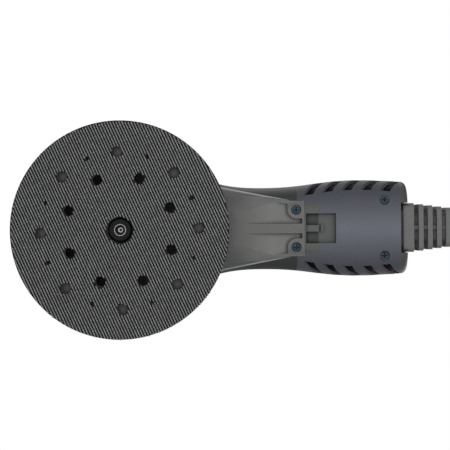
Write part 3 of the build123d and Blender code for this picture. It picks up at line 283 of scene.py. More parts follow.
@dataclass
class ShaderLibrary:
    """Node groups that every finish shares, each built once.

    Attributes:
        smudge_scale: Fineness of the broad smudges, in spots per metre.
        crown_width: Distance from the middle at which the painted light along the middle has halved, in
            metres.
        crown_level: Level of that painted light at which the colour stays as it is.
        darkest: Share of its colour that the deepest painted shade keeps.
        edge_gain: How fast the edge mask fills as an edge sharpens.
        mark_scale: Fineness of the tool marks, in spots per metre.
        mark_squeeze: How much closer the tool marks lie along Z.
        tone: Group that varies a colour and paints light and shade into it.
        relief: Group that rounds edges and adds grain.
        edge: Group that finds edges for the painted highlights.
        crevice_shade: Group that finds inner corners for the painted shade.
        tool_marks: Group that varies the roughness of metal.
    """

    smudge_scale: float = 38.0
    crown_width: float = 12 * MM
    crown_level: float = 0.4
    darkest: float = 0.02
    edge_gain: float = 4.0
    mark_scale: float = 600.0
    mark_squeeze: float = 14.0
    tone: bpy.types.NodeTree = field(init=False)
    relief: bpy.types.NodeTree = field(init=False)
    edge: bpy.types.NodeTree = field(init=False)
    crevice_shade: bpy.types.NodeTree = field(init=False)
    tool_marks: bpy.types.NodeTree = field(init=False)

    def __post_init__(self) -> None:
        """Builds the groups."""
        self.tone = self._tone()
        self.relief = self._relief()
        self.edge = self._edge()
        self.crevice_shade = self._crevice()
        self.tool_marks = self._tool_marks()

    def _tone(self) -> bpy.types.NodeTree:
        """Builds the group that varies a colour in fine mottling and broad smudges, and paints light and
        shade into it.

        Returns:
            The group, with a colour output.
        """
        writer, given, result = new_group(
            "SurfaceTone",
            {
                "Colour": ("NodeSocketColor", (0.1, 0.1, 0.1, 1.0)),
                "Scale": ("NodeSocketFloat", 900.0),
                "Mottle": ("NodeSocketFloat", 0.1),
                "Smudge": ("NodeSocketFloat", 0.1),
                "Painted Light And Tone": ("NodeSocketFloat", 0.0),
                "Painted Shade": ("NodeSocketFloat", 0.0),
                "Painted Crown Light": ("NodeSocketFloat", 0.0),
            },
            {"Colour": "NodeSocketColor"},
        )
        place = writer.place()
        fine = writer.swing(writer.noise(place, given["Scale"], 3.0), given["Mottle"])
        broad = writer.swing(writer.noise(place, self.smudge_scale, 2.0), given["Smudge"])
        # Mottling and smudges are the surface's own tone; the added input brings painted highlights and
        # painted light and shade, and for the hooks a random tone too.
        share = writer.total(fine, broad, 1.0, given["Painted Light And Tone"])
        # Painted light along the middle and painted shade towards the sides, by the distance along Y.
        side = writer.math("DIVIDE", writer.parts(place)["Y"], self.crown_width)
        spread = writer.total(writer.product(side, side), 1.0)
        fall = writer.math("SUBTRACT", writer.math("DIVIDE", 1.0, spread), self.crown_level)
        share = writer.total(share, writer.product(fall, given["Painted Crown Light"]))
        # Painted shade in inner corners, notches, the catch pocket and the flanks darkens the colour.
        lit = writer.math("SUBTRACT", 1.0, given["Painted Shade"], clamp=True)
        share = writer.math("MAXIMUM", writer.product(share, lit), self.darkest)
        writer.link(writer.scaled(given["Colour"], share), result["Colour"])
        return writer.tree

    @staticmethod
    def _relief() -> bpy.types.NodeTree:
        """Builds the group that rounds edges and adds a moulded grain.

        Returns:
            The group, with a normal output.
        """
        writer, given, result = new_group(
            "SurfaceRelief",
            {
                "Radius": ("NodeSocketFloat", 0.3 * MM),
                "Scale": ("NodeSocketFloat", 2500.0),
                "Depth": ("NodeSocketFloat", 0.02 * MM),
            },
            {"Normal": "NodeSocketVector"},
        )
        grain = writer.noise(writer.place(), given["Scale"], 2.0)
        rounded = writer.add("ShaderNodeBevel", {"Radius": given["Radius"]}, samples=4).outputs["Normal"]
        bump = writer.add(
            "ShaderNodeBump",
            {"Strength": 1.0, "Distance": given["Depth"], "Height": grain, "Normal": rounded},
        )
        writer.link(bump.outputs["Normal"], result["Normal"])
        return writer.tree

    def _edge(self) -> bpy.types.NodeTree:
        """Builds the group that finds edges and corners, where highlights are painted.

        Returns:
            The group, with a mask output.
        """
        writer, given, result = new_group(
            "EdgeMask",
            {"Radius": ("NodeSocketFloat", 0.5 * MM), "Amount": ("NodeSocketFloat", 0.5)},
            {"Mask": "NodeSocketFloat"},
        )
        rounded = writer.add("ShaderNodeBevel", {"Radius": given["Radius"]}, samples=4).outputs["Normal"]
        flat = writer.add("ShaderNodeNewGeometry").outputs["Normal"]
        facing = writer.add("ShaderNodeVectorMath", {0: rounded, 1: flat}, operation="DOT_PRODUCT")
        away = writer.math("SUBTRACT", 1.0, facing.outputs["Value"])
        sharp = writer.math("MULTIPLY", away, self.edge_gain, clamp=True)
        writer.link(writer.product(sharp, given["Amount"]), result["Mask"])
        return writer.tree

    @staticmethod
    def _crevice() -> bpy.types.NodeTree:
        """Builds the group that finds narrow gaps and inner corners, where shade is painted.

        Returns:
            The group, with a mask output.
        """
        writer, given, result = new_group(
            "CreviceMask",
            {"Reach": ("NodeSocketFloat", 3 * MM), "Amount": ("NodeSocketFloat", 0.5)},
            {"Mask": "NodeSocketFloat"},
        )
        shaded = writer.add("ShaderNodeAmbientOcclusion", {"Distance": given["Reach"]}, samples=8)
        hidden = writer.math("SUBTRACT", 1.0, shaded.outputs["AO"], clamp=True)
        writer.link(writer.product(hidden, given["Amount"]), result["Mask"])
        return writer.tree

    def _tool_marks(self) -> bpy.types.NodeTree:
        """Builds the group for fine tool marks on metal.

        Returns:
            The group, with a roughness output.
        """
        writer, given, result = new_group(
            "ToolMarks",
            {"Roughness": ("NodeSocketFloat", 0.3), "Spread": ("NodeSocketFloat", 0.2)},
            {"Roughness": "NodeSocketFloat"},
        )
        squeeze = (1.0, 1.0, self.mark_squeeze)
        squeezed = writer.add("ShaderNodeMapping", {"Vector": writer.place(), "Scale": squeeze})
        marks = writer.noise(squeezed.outputs["Vector"], self.mark_scale, 4.0)
        swing = writer.swing(marks, given["Spread"])
        writer.link(writer.math("ADD", given["Roughness"], swing, clamp=True), result["Roughness"])
        return writer.tree


@dataclass(frozen=True)
class Draft:
    """Material that is being built.

    Attributes:
        library: Shared node groups.
        writer: Writer for the material's tree.
        surface: Its surface shader.
        tone: The group that gives its colour.
    """

    library: ShaderLibrary
    writer: NodeWriter
    surface: bpy.types.Node
    tone: bpy.types.Node


@dataclass(frozen=True)
class Finish:
    """Surface of one kind of piece.

    Attributes:
        name: Name of the material.
        colour: Screen colour of a lit face.
        roughness: Roughness of the surface.
        specular: Strength of plain reflection.
        mottle: Share that the colour varies by over small spots.
        mottle_size: Size of those spots in metres.
        smudge: Share that the colour varies by over large areas.
        grain_size: Size of the moulded grain in metres.
        grain_depth: Depth of the moulded grain in metres.
        edge_radius: Radius that edges are rounded to in metres.
        edge_reach: Width of the painted edge highlights as a share of that radius.
        edge_highlight: Share of painted highlight on the edges.
        crevice_shade: Share of painted shade in inner corners.
        crevice_reach: Width of the gaps that count as inner corners in metres.
        crown_light: Share of painted light along the middle and of painted shade towards the sides.
    """

    name: str
    colour: tuple[int, int, int]
    roughness: float = 0.55
    specular: float = 0.35
    mottle: float = 0.25
    mottle_size: float = 1.1 * MM
    smudge: float = 0.12
    grain_size: float = 0.45 * MM
    grain_depth: float = 0.02 * MM
    edge_radius: float = 0.3 * MM
    edge_reach: float = 1.6
    edge_highlight: float = 0.25
    crevice_shade: float = 0.6
    crevice_reach: float = 2.5 * MM
    crown_light: float = 0.0

    def build(self, library: ShaderLibrary) -> bpy.types.Material:
        """Builds the material.

        Args:
            library: Shared node groups.

        Returns:
            The finished material.
        """
        material = bpy.data.materials.new(self.name)
        writer = clear_tree(material)
        surface_inputs = {"Roughness": self.roughness, "Specular IOR Level": self.specular}
        surface = writer.add("ShaderNodeBsdfPrincipled", surface_inputs)
        writer.add("ShaderNodeOutputMaterial", {"Surface": surface.outputs["BSDF"]})
        # Painted highlights on the edges and painted shade in inner corners go into the colour.
        edge_inputs = {"Radius": self.edge_reach * self.edge_radius, "Amount": self.edge_highlight}
        edge = writer.group(library.edge, edge_inputs)
        crevice_shade = writer.group(library.crevice_shade, {"Reach": self.crevice_reach, "Amount": self.crevice_shade})
        tone = writer.group(
            library.tone,
            {
                "Colour": linear(self.colour),
                "Scale": 1 / self.mottle_size,
                "Mottle": self.mottle,
                "Smudge": self.smudge,
                "Painted Light And Tone": edge.outputs["Mask"],
                "Painted Shade": crevice_shade.outputs["Mask"],
                "Painted Crown Light": self.crown_light,
            },
        )
        relief_inputs = {"Radius": self.edge_radius, "Scale": 1 / self.grain_size, "Depth": self.grain_depth}
        relief = writer.group(library.relief, relief_inputs)
        writer.link(tone.outputs["Colour"], surface.inputs["Base Color"])
        writer.link(relief.outputs["Normal"], surface.inputs["Normal"])
        self._refine(Draft(library, writer, surface, tone))
        return material

    def _refine(self, draft: Draft) -> None:
        """Adds what only this kind of finish has, which is nothing on plain plastic."""


@dataclass(frozen=True)
class NotchedFinish(Finish):
    """Shell plastic with painted shade on the floors under the grip's notches, in the catch pocket and on the
    flanks, and painted light on the neck's face with painted highlights along its two edge lines.

    Attributes:
        notch_start: Place along X where the notches start in metres.
        notch_end: Place along X where they end in metres.
        notch_side: Distance from the middle that they start at in metres.
        notch_shade: Share of painted shade on the floors.
        pocket_start: Place along X where the catch pocket starts in metres.
        pocket_end: Place along X where it ends in metres.
        pocket_side: Half its width in metres.
        pocket_height: Height above which its faces get painted shade in metres.
        pocket_shade: Share of painted shade on its floor.
        pocket_step: Place along X where the painted shade on its floor has faded out in metres.
        pocket_fade: Distance over which that painted shade fades in metres.
        neck_half: Half width of the neck's painted light face at the motor axis in metres.
        neck_taper: Share of the distance that it narrows by along X.
        neck_end: Place along X where the painted light on the face and lines ends in metres.
        neck_light: Share of painted light on the neck's face.
        line_half: Half width of the painted highlight line at its edge in metres.
        line_highlight: Share of painted highlight on the line.
        flank_shade: Share of painted shade on the flanks outside the line.
        flank_end: Place along X where the flanks end in metres.
    """

    notch_start: float = 101.5 * MM
    notch_end: float = 161.0 * MM
    notch_side: float = 16.5 * MM
    notch_shade: float = 0.88
    pocket_start: float = 105.2 * MM
    pocket_end: float = 123.8 * MM
    pocket_side: float = 9.0 * MM
    pocket_height: float = 36.4 * MM
    pocket_shade: float = 0.42
    pocket_step: float = 113.8 * MM
    pocket_fade: float = 0.8 * MM
    neck_half: float = 35.7 * MM
    neck_taper: float = 0.2
    neck_end: float = 96.0 * MM
    neck_light: float = 0.75
    line_half: float = 0.42 * MM
    line_highlight: float = 5.0
    flank_shade: float = 0.35
    flank_end: float = 101.5 * MM

    def _refine(self, draft: Draft) -> None:
        """Paints shade into the notches, the catch pocket and the flanks, and paints light on the neck's face
        and its lines.

        Args:
            draft: The material.
        """
        writer = draft.writer
        x, y, z = writer.parts(writer.place())
        aside = writer.math("ABSOLUTE", y)
        # Painted shade on the notch floors.
        notches = writer.product(
            writer.between(x, self.notch_start, self.notch_end),
            writer.math("GREATER_THAN", aside, self.notch_side),
            self.notch_shade,
        )
        # Painted shade in the catch pocket, fading out at its step.
        pocket = writer.product(
            writer.between(x, self.pocket_start, self.pocket_end),
            writer.math("LESS_THAN", aside, self.pocket_side),
            writer.math("GREATER_THAN", z, self.pocket_height),
            writer.ramp(x, self.pocket_step, -self.pocket_fade),
            self.pocket_shade,
        )
        # Painted light on the neck's face and painted highlights along its edge lines.
        half = writer.math("SUBTRACT", self.neck_half, writer.product(x, self.neck_taper))
        outward = writer.math("SUBTRACT", aside, half)
        face = writer.product(writer.math("LESS_THAN", outward, 0.0), self.neck_light)
        on_line = writer.math("LESS_THAN", writer.math("ABSOLUTE", outward), self.line_half)
        brighter = writer.math("MAXIMUM", face, writer.product(on_line, self.line_highlight))
        light = writer.product(brighter, writer.math("LESS_THAN", x, self.neck_end))
        # Painted shade on the flanks outside those lines.
        flanks = writer.product(
            writer.math("GREATER_THAN", outward, self.line_half),
            self.flank_shade,
            writer.math("LESS_THAN", x, self.flank_end),
        )
        shade = writer.total(notches, pocket, flanks)
        writer.raise_input(draft.tone.inputs["Painted Light And Tone"], light)
        writer.raise_input(draft.tone.inputs["Painted Shade"], shade)
        # Weaker reflection where shade is painted.
        lit = writer.math("SUBTRACT", 1.0, shade, clamp=True)
        writer.link(writer.product(lit, self.specular), draft.surface.inputs["Specular IOR Level"])


@dataclass(frozen=True)
class RibbedFinish(Finish):
    """Moulded cover with painted light on its sunk floors and painted shade on its ribs.

    Attributes:
        face_height: Height of the cover's own face in metres.
        sink: Depth at which a sunk floor has its full painted light in metres.
        floor_light: Share of painted light on the floors.
        rib_shade: Share of painted shade on the ribs and the rest of the face.
        front: Place along X where the painted light starts in metres.
        reach: Distance over which it builds up in metres.
    """

    face_height: float = 34.1 * MM
    sink: float = 1.1 * MM
    floor_light: float = 0.24
    rib_shade: float = 0.12
    front: float = 66.0 * MM
    reach: float = 9.0 * MM

    def _refine(self, draft: Draft) -> None:
        """Paints light on the sunk floors and shade on the rest.

        Args:
            draft: The material.
        """
        writer = draft.writer
        x, _, z = writer.parts(writer.place())
        floor = writer.ramp(z, self.face_height, self.sink)
        along = writer.ramp(x, self.front, self.reach)
        # Painted light on the sunk floors and painted shade on the ribs and the rest of the face.
        gain = writer.product(floor, along, self.floor_light + self.rib_shade)
        writer.raise_input(draft.tone.inputs["Painted Light And Tone"], writer.math("SUBTRACT", gain, self.rib_shade))


@dataclass(frozen=True)
class RubberFinish(Finish):
    """Soft overmoulded rubber with a faint sheen.

    Attributes:
        sheen: Strength of the sheen.
        sheen_roughness: Roughness of the sheen.
    """

    roughness: float = 0.7
    specular: float = 0.25
    sheen: float = 0.08
    sheen_roughness: float = 0.5

    def _refine(self, draft: Draft) -> None:
        """Adds the sheen."""
        draft.surface.inputs["Sheen Weight"].default_value = self.sheen
        draft.surface.inputs["Sheen Roughness"].default_value = self.sheen_roughness


@dataclass(frozen=True)
class MetalFinish(Finish):
    """Plated, ground or cast metal with fine tool marks.

    Attributes:
        metallic: How far the surface reflects as a metal.
        marks: Share that the roughness varies by.
    """

    roughness: float = 0.32
    specular: float = 0.5
    mottle: float = 0.12
    grain_depth: float = 0.006 * MM
    metallic: float = 1.0
    marks: float = 0.2

    def _refine(self, draft: Draft) -> None:
        """Makes the surface a metal and adds the tool marks.

        Args:
            draft: The material.
        """
        inputs = {"Roughness": self.roughness, "Spread": self.marks}
        marks = draft.writer.group(draft.library.tool_marks, inputs)
        draft.writer.link(marks.outputs["Roughness"], draft.surface.inputs["Roughness"])
        draft.surface.inputs["Metallic"].default_value = self.metallic


@dataclass(frozen=True)
class HookFinish(Finish):
    """Nylon hooks with painted light on the narrow ones and painted shade on the wide ones between them, each
    also a little lighter or darker at random.

    Attributes:
        spread: Share that the hooks differ by.
    """

    roughness: float = 0.5
    spread: float = 1.0

    def _refine(self, draft: Draft) -> None:
        """Puts each hook's tone, painted light on narrow hooks and painted shade on wide ones with a random
        part, in place of the painted edge highlights.
        """
        own = draft.writer.add("ShaderNodeAttribute", attribute_name=HOOK_TONE_AND_LIGHT).outputs["Fac"]
        draft.writer.link(draft.writer.swing(own, self.spread), draft.tone.inputs["Painted Light And Tone"])


@dataclass(frozen=True)
class LensFinish(Finish):
    """Clear tinted plastic over a lamp.

    Attributes:
        clearness: Share of light that passes.
    """

    roughness: float = 0.18
    clearness: float = 0.55

    def _refine(self, draft: Draft) -> None:
        """Lets light through."""
        draft.surface.inputs["Transmission Weight"].default_value = self.clearness


SHELL = Finish("shell_grey", (70, 72, 71))
# Painted light along the lower shell's middle and painted shade in its inner corners; painted highlights on
# the cover's edges and painted shade in its corners.
LOWER_SHELL = NotchedFinish("lower_shell_grey", (64, 66, 66), crown_light=0.35, crevice_shade=1.1, crevice_reach=3 * MM)
COVER = RibbedFinish("cover_grey", (92, 92, 91), edge_radius=0.4 * MM, edge_highlight=0.8, crevice_shade=1.5)
DARK_PLASTIC = Finish("dark_plastic", (44, 45, 47), roughness=0.48)
PANEL_PLASTIC = Finish("panel_plastic", (34, 35, 37), roughness=0.38, grain_depth=0.01 * MM)
SHROUD_PLASTIC = Finish("shroud_plastic", (46, 47, 47))
# Painted light along the grip's middle, painted shade towards its sides and in its notches and recesses.
GRIP = RubberFinish(
    "grip_rubber",
    (75, 77, 85),
    mottle=0.5,
    mottle_size=0.9 * MM,
    crown_light=1.1,
    crevice_shade=1.1,
    crevice_reach=1.8 * MM,
)
CAP = RubberFinish("cap_rubber", (52, 54, 59))
KEY = RubberFinish("key_rubber", (70, 72, 77))
# Painted shade in the gaps between the boot's rings and painted highlights on their edges.
BOOT = RubberFinish(
    "boot_rubber",
    (97, 98, 97),
    roughness=0.6,
    edge_highlight=0.5,
    crevice_shade=1.1,
    crevice_reach=4 * MM,
)
CABLE = RubberFinish("cable_rubber", (40, 41, 42), roughness=0.55, mottle=0.15)
SEAL = RubberFinish("seal_rubber", (30, 31, 32))
FOAM = RubberFinish("pad_foam", (52, 52, 54), mottle=0.5, mottle_size=0.7 * MM, grain_depth=0.06 * MM)
PLATE = Finish("pad_nylon", (47, 43, 42), roughness=0.5, mottle=0.6, mottle_size=2 * MM)
BACKING = Finish(
    "hook_backing",
    (40, 41, 41),
    roughness=0.8,
    specular=0.15,
    mottle=0.6,
    grain_depth=0.05 * MM,
)
HOOKS = HookFinish(
    "hook_nylon",
    (114, 116, 115),
    mottle=0.3,
    mottle_size=3 * MM,
    edge_radius=0.05 * MM,
    crevice_shade=0.0,
)
# Strong painted highlights on the screws' edges and cross recesses stand in for glints; painted shade darkens
# their recesses.
ZINC = MetalFinish(
    "zinc_plate",
    (37, 46, 51),
    roughness=0.28,
    edge_radius=0.28 * MM,
    edge_highlight=9.0,
    crevice_shade=1.0,
    marks=0.4,
    grain_size=1.4 * MM,
    grain_depth=0.2 * MM,
)
BLACK_OXIDE = Finish("black_oxide", (20, 20, 21), roughness=0.6, specular=0.12, edge_radius=0.2 * MM)
# Plain bright colour on the socket's rim and drill point: painted highlights for their glints.
PAINTED_GLINT = Finish("painted_glint_rim", (184, 185, 187), roughness=0.3, specular=0.6, crevice_shade=0.0)
STEEL = MetalFinish("ground_steel", (190, 190, 192), roughness=0.25)
# Hub, counterweight and motor base are this dark so that the pad's inner holes show painted shade.
DARK_STEEL = MetalFinish("steel_darkened_as_shade", (30, 30, 32), roughness=0.45)
SPRING = MetalFinish("spring_steel", (120, 120, 124), roughness=0.35)
ALLOY = MetalFinish("cast_alloy", (176, 176, 178), roughness=0.5, grain_depth=0.03 * MM)
LAMINATION = MetalFinish("laminated_steel", (110, 110, 116), roughness=0.5, marks=0.4)
COPPER = MetalFinish("enamelled_copper", (196, 108, 58), roughness=0.3)
BRASS = MetalFinish("nickelled_brass", (196, 186, 150), roughness=0.25)
BOARD = Finish("circuit_board", (22, 92, 58), roughness=0.4)
MARKING = Finish("mark_white", (176, 178, 178), roughness=0.5)
LENS = LensFinish("lamp_lens", (150, 214, 168))


@dataclass
class Wardrobe:
    """Materials, each built the first time that a piece wears it.

    Attributes:
        library: Shared node groups.
        made: Materials by name.
    """

    library: ShaderLibrary = field(default_factory=ShaderLibrary)
    made: dict[str, bpy.types.Material] = field(default_factory=dict)

    def material(self, finish: Finish) -> bpy.types.Material:
        """Gives the material of a finish.

        Args:
            finish: The finish.

        Returns:
            Its material.
        """
        if finish.name not in self.made:
            self.made[finish.name] = finish.build(self.library)
        return self.made[finish.name]

    def dress_node(self, node: str, finish: Finish) -> None:
        """Puts a finish on a CAD node.

        Args:
            node: Name of the node.
            finish: Its finish.
        """
        piece = frame["nodes"][node]
        if not piece.material_slots:
            piece.data.materials.append(None)
        for slot in piece.material_slots:
            slot.link = "OBJECT"
            slot.material = self.material(finish)
        log.info("dressed %s in %s", node, finish.name)

    def new_piece(self, name: str, data: Any, finish: Finish, body: Body, slot: str) -> bpy.types.Object:
        """Adds a piece to the scene, dressed and riding on its body.

        Args:
            name: Name of the piece.
            data: Its mesh or curve.
            finish: Its finish.
            body: Body that it rides on.
            slot: The record's material slot that it belongs to, which is not used.

        Returns:
            The new object.
        """
        piece = add_object(name, data)
        data.materials.clear()
        data.materials.append(self.material(finish))
        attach(piece, body.value)
        log.info("made %s", name)
        return piece


@dataclass
class Assembly:
    """Sub-assembly whose CAD nodes wear finishes.

    Attributes:
        wardrobe: Source of materials.
        finishes: Finish by node name.
    """

    wardrobe: Wardrobe
    finishes: ClassVar[dict[str, Finish]] = {}

    def build(self) -> None:
        """Dresses the nodes."""
        for node, finish in self.finishes.items():
            self.wardrobe.dress_node(node, finish)


@dataclass
class HookField:
    """Geometry Nodes tree that sets rows of hooks over the pad's face.

    Attributes:
        centre: Middle of the pad's face in metres.
        radius: Radius that the rows cover in metres.
        pitch: Distance between rows in metres.
        spacing: Distance between hooks in a row in metres.
        height: Height of a hook in metres.
        width: Width of a hook in metres.
        taper: Share that a hook is narrower by at its foot.
        narrow: Width of every other hook as a share of its drawn width.
        wide: Width of the hooks between those as a share of their drawn width.
        row_angle: Angle of the rows from +Y towards +X in degrees.
        slant: Reach of a hook's tip along its row in metres.
        margin: Bare width along the edges of the face and its holes in metres.
        ray_length: Distance in which a hook has to find its backing in metres.
        shift: Farthest that a hook is moved to either side, along its row and up, in metres.
        tilt: Most that a hook is turned about each axis in radians.
        smallest: Least width, length and height of a hook as shares.
        largest: Most width, length and height of a hook as shares.
        random_tone: Share of a hook's tone that is random. The rest is painted light on narrow hooks and
            painted shade on wide ones.
        seed: Seed for the hooks' differences.
    """

    centre: tuple[float, float, float] = (PAD_X, 0.0, 0.0)
    radius: float = 62.775 * MM
    pitch: float = 1.55 * MM
    spacing: float = 0.7703 * MM
    height: float = 0.7 * MM
    width: float = 0.56 * MM
    taper: float = 0.35
    narrow: float = 0.75
    wide: float = 1.5
    row_angle: float = 24.4
    slant: float = 0.2 * MM
    margin: float = 0.34 * MM
    ray_length: float = 5 * MM
    shift: tuple[float, float, float] = (0.03 * MM, 0.08 * MM, 0.08 * MM)
    tilt: tuple[float, float, float] = (0.08, 0.1, 0.06)
    smallest: tuple[float, float, float] = (0.9, 1.25, 1.02)
    largest: tuple[float, float, float] = (1.1, 1.5, 1.1)
    random_tone: float = 0.4
    seed: int = 7

    def _inputs(self) -> dict[str, tuple[str, Any]]:
        """Lists what the tree is given besides the backing.

        Returns:
            Socket type and value by input name.
        """
        return {
            "Radius": ("NodeSocketFloat", self.radius),
            "Pitch": ("NodeSocketFloat", self.pitch),
            "Spacing": ("NodeSocketFloat", self.spacing),
            "Height": ("NodeSocketFloat", self.height),
            "Width": ("NodeSocketFloat", self.width),
            "Row Angle": ("NodeSocketFloat", -math.radians(self.row_angle)),
            "Slant": ("NodeSocketFloat", self.slant),
            "Margin": ("NodeSocketFloat", self.margin),
            "Centre": ("NodeSocketVector", self.centre),
            "Seed": ("NodeSocketInt", self.seed),
        }

    @staticmethod
    def _random(writer: NodeWriter, seed: Any, low: Sequence[float], high: Sequence[float]) -> Socket:
        """Draws a vector between two corners for each hook."""
        inputs = {0: low, 1: high, "Seed": seed}
        return writer.add("FunctionNodeRandomValue", inputs, data_type="FLOAT_VECTOR").outputs[0]

    def _tree(self, material: bpy.types.Material) -> bpy.types.NodeTree:
        """Builds the tree.

        Args:
            material: Material of the hooks.

        Returns:
            The geometry tree.
        """
        tree = bpy.data.node_groups.new("HookField", "GeometryNodeTree")
        tree.is_modifier = True
        tree.interface.new_socket(name="Backing", in_out="INPUT", socket_type="NodeSocketGeometry")
        for title, (kind, _) in self._inputs().items():
            tree.interface.new_socket(name=title, in_out="INPUT", socket_type=kind)
        tree.interface.new_socket(name="Hooks", in_out="OUTPUT", socket_type="NodeSocketGeometry")
        writer = NodeWriter(tree)
        given = writer.add("NodeGroupInput").outputs
        row_turn = writer.add("ShaderNodeCombineXYZ", {"Z": given["Row Angle"]}).outputs[0]
        least_tilt = tuple(-angle for angle in self.tilt)
        tilt = self._random(writer, given["Seed"], least_tilt, self.tilt)
        size_seed = writer.total(given["Seed"], 3.0)
        drawn = self._random(writer, size_seed, self.smallest, self.largest)
        is_wide = writer.add("GeometryNodeInputNamedAttribute", {"Name": HOOK_WIDE}, data_type="FLOAT")
        width = writer.total(writer.product(is_wide.outputs[0], self.wide - self.narrow), self.narrow)
        widening = writer.add("ShaderNodeCombineXYZ", {"X": width, "Y": 1.0, "Z": 1.0}).outputs[0]
        placed = writer.add(
            "GeometryNodeInstanceOnPoints",
            {
                "Points": self._points(writer, given, row_turn),
                "Instance": self._hook(writer, given),
                "Rotation": writer.vector("ADD", tilt, row_turn),
                "Scale": writer.vector("MULTIPLY", drawn, widening),
            },
        )
        real = writer.add("GeometryNodeRealizeInstances", {"Geometry": placed.outputs[0]})
        dressed = writer.add("GeometryNodeSetMaterial", {"Geometry": real.outputs[0], "Material": material})
        writer.add("NodeGroupOutput", {0: dressed.outputs[0]})
        return tree

    def _points(self, writer: NodeWriter, given: Any, row_turn: Any) -> Socket:
        """Lays out the rows and keeps the points that have backing above them.

        Args:
            writer: Writer for the tree.
            given: Sockets of the tree's inputs.
            row_turn: Socket of the turn from Y to the rows.

        Returns:
            Socket of the points.
        """
        # One point more than there are steps, and a half so that the count rounds to the nearest.
        ends = 1.5
        across = writer.product(given["Radius"], 2.0)
        rows = writer.total(writer.math("DIVIDE", across, given["Pitch"]), ends)
        hooks = writer.total(writer.math("DIVIDE", across, given["Spacing"]), ends)
        grid_inputs = {"Size X": across, "Size Y": across, "Vertices X": rows, "Vertices Y": hooks}
        grid = writer.add("GeometryNodeMeshGrid", grid_inputs)
        loose = writer.add("GeometryNodeMeshToPoints", {"Mesh": grid.outputs["Mesh"]})
        side, along, up = self.shift
        shift = self._random(writer, given["Seed"], (-side, -along, 0.0), (side, along, up))
        noted = writer.add("GeometryNodeSetPosition", {"Geometry": loose.outputs[0], "Offset": shift})
        is_wide = writer.math("MODULO", writer.add("GeometryNodeInputIndex").outputs[0], 2.0)
        is_narrow = writer.math("SUBTRACT", 1.0, is_wide)
        tone_seed = writer.total(given["Seed"], 5.0)
        draw_inputs = {2: 0.0, 3: 1.0, "Seed": tone_seed}
        draw = writer.add("FunctionNodeRandomValue", draw_inputs, data_type="FLOAT").outputs[1]
        # Narrow hooks get painted light and wide hooks painted shade; the drawn share is random tone.
        painted_light_part = writer.product(is_narrow, 1 - self.random_tone)
        tone = writer.total(writer.product(draw, self.random_tone), painted_light_part)
        for title, value in {HOOK_WIDE: is_wide, HOOK_TONE_AND_LIGHT: tone}.items():
            store_inputs = {"Geometry": noted.outputs[0], "Name": title, "Value": value}
            settings = {"data_type": "FLOAT", "domain": "POINT"}
            noted = writer.add("GeometryNodeStoreNamedAttribute", store_inputs, **settings)
        moved = writer.add(
            "GeometryNodeTransform",
            {"Geometry": noted.outputs[0], "Translation": given["Centre"], "Rotation": row_turn},
        )
        missed = self._missed(writer, given)
        kept_inputs = {"Geometry": moved.outputs[0], "Selection": missed}
        return writer.add("GeometryNodeDeleteGeometry", kept_inputs, domain="POINT").outputs[0]

    def _missed(self, writer: NodeWriter, given: Any) -> Socket:
        """Finds the points that lack backing above any of four spots, a margin away to each side.

        Args:
            writer: Writer for the tree.
            given: Sockets of the tree's inputs.

        Returns:
            Socket that is true for such a point.
        """
        spot = writer.add("GeometryNodeInputPosition").outputs[0]
        held = True
        for x, y in ((1.0, 0.0), (-1.0, 0.0), (0.0, 1.0), (0.0, -1.0)):
            start = writer.vector("ADD", spot, writer.scaled((x, y, 0.0), given["Margin"]))
            ray = writer.add(
                "GeometryNodeRaycast",
                {
                    "Target Geometry": given["Backing"],
                    "Source Position": start,
                    "Ray Direction": (0.0, 0.0, 1.0),
                    "Ray Length": self.ray_length,
                },
            )
            held = writer.add("FunctionNodeBooleanMath", {0: held, 1: ray.outputs["Is Hit"]}).outputs[0]
        return writer.add("FunctionNodeBooleanMath", {0: held}, operation="NOT").outputs[0]

    def _hook(self, writer: NodeWriter, given: Any) -> Socket:
        """Shapes one hook: a short square stem, tip at the bottom, slanted along its row.

        Args:
            writer: Writer for the tree.
            given: Sockets of the tree's inputs.

        Returns:
            Socket of the hook's mesh.
        """
        # The cylinder's four corners lie on the axes, so they are turned by 45 degrees.
        corner_share = 0.7
        diagonal = 0.7071
        stem = writer.add(
            "GeometryNodeMeshCylinder",
            {
                "Vertices": 4,
                "Side Segments": 1,
                "Radius": writer.product(given["Width"], corner_share),
                "Depth": given["Height"],
            },
        )
        x, y, z = writer.parts(writer.add("GeometryNodeInputPosition").outputs[0])
        above = writer.total(writer.math("DIVIDE", z, given["Height"]), 0.5)
        drop = writer.math("SUBTRACT", 1.0, above)
        reach = writer.product(drop, given["Slant"])
        narrowing = writer.math("SUBTRACT", 1.0, writer.product(above, self.taper))
        across = writer.product(writer.math("SUBTRACT", x, y), narrowing, diagonal)
        along = writer.product(writer.math("ADD", x, y), narrowing, diagonal)
        shaped = {"X": across, "Y": writer.total(along, reach), "Z": writer.product(above, given["Height"])}
        point = writer.add("ShaderNodeCombineXYZ", shaped).outputs[0]
        slanted = writer.add("GeometryNodeSetPosition", {"Geometry": stem.outputs["Mesh"], "Position": point})
        return slanted.outputs[0]

    def build(self, backing: bpy.types.Object, material: bpy.types.Material) -> bpy.types.Mesh:
        """Evaluates the tree over the backing and gives the hooks as one mesh.

        Args:
            backing: The sheet that the hooks stand on.
            material: Material of the hooks.

        Returns:
            Mesh of all hooks.
        """
        tree = self._tree(material)
        carrier = add_object("hook_rows", backing.data)
        modifier = carrier.modifiers.new("rows", "NODES")
        modifier.node_group = tree
        inputs = self._inputs()
        for item in tree.interface.items_tree:
            if item.in_out == "INPUT" and item.name in inputs:
                modifier[item.identifier] = inputs[item.name][1]
        bpy.context.view_layer.update()
        graph = bpy.context.evaluated_depsgraph_get()
        mesh = bpy.data.meshes.new_from_object(carrier.evaluated_get(graph), depsgraph=graph)
        bpy.data.objects.remove(carrier)
        mesh.name = "hook_pile"
        log.info("hooks: %d faces", len(mesh.polygons))
        return mesh


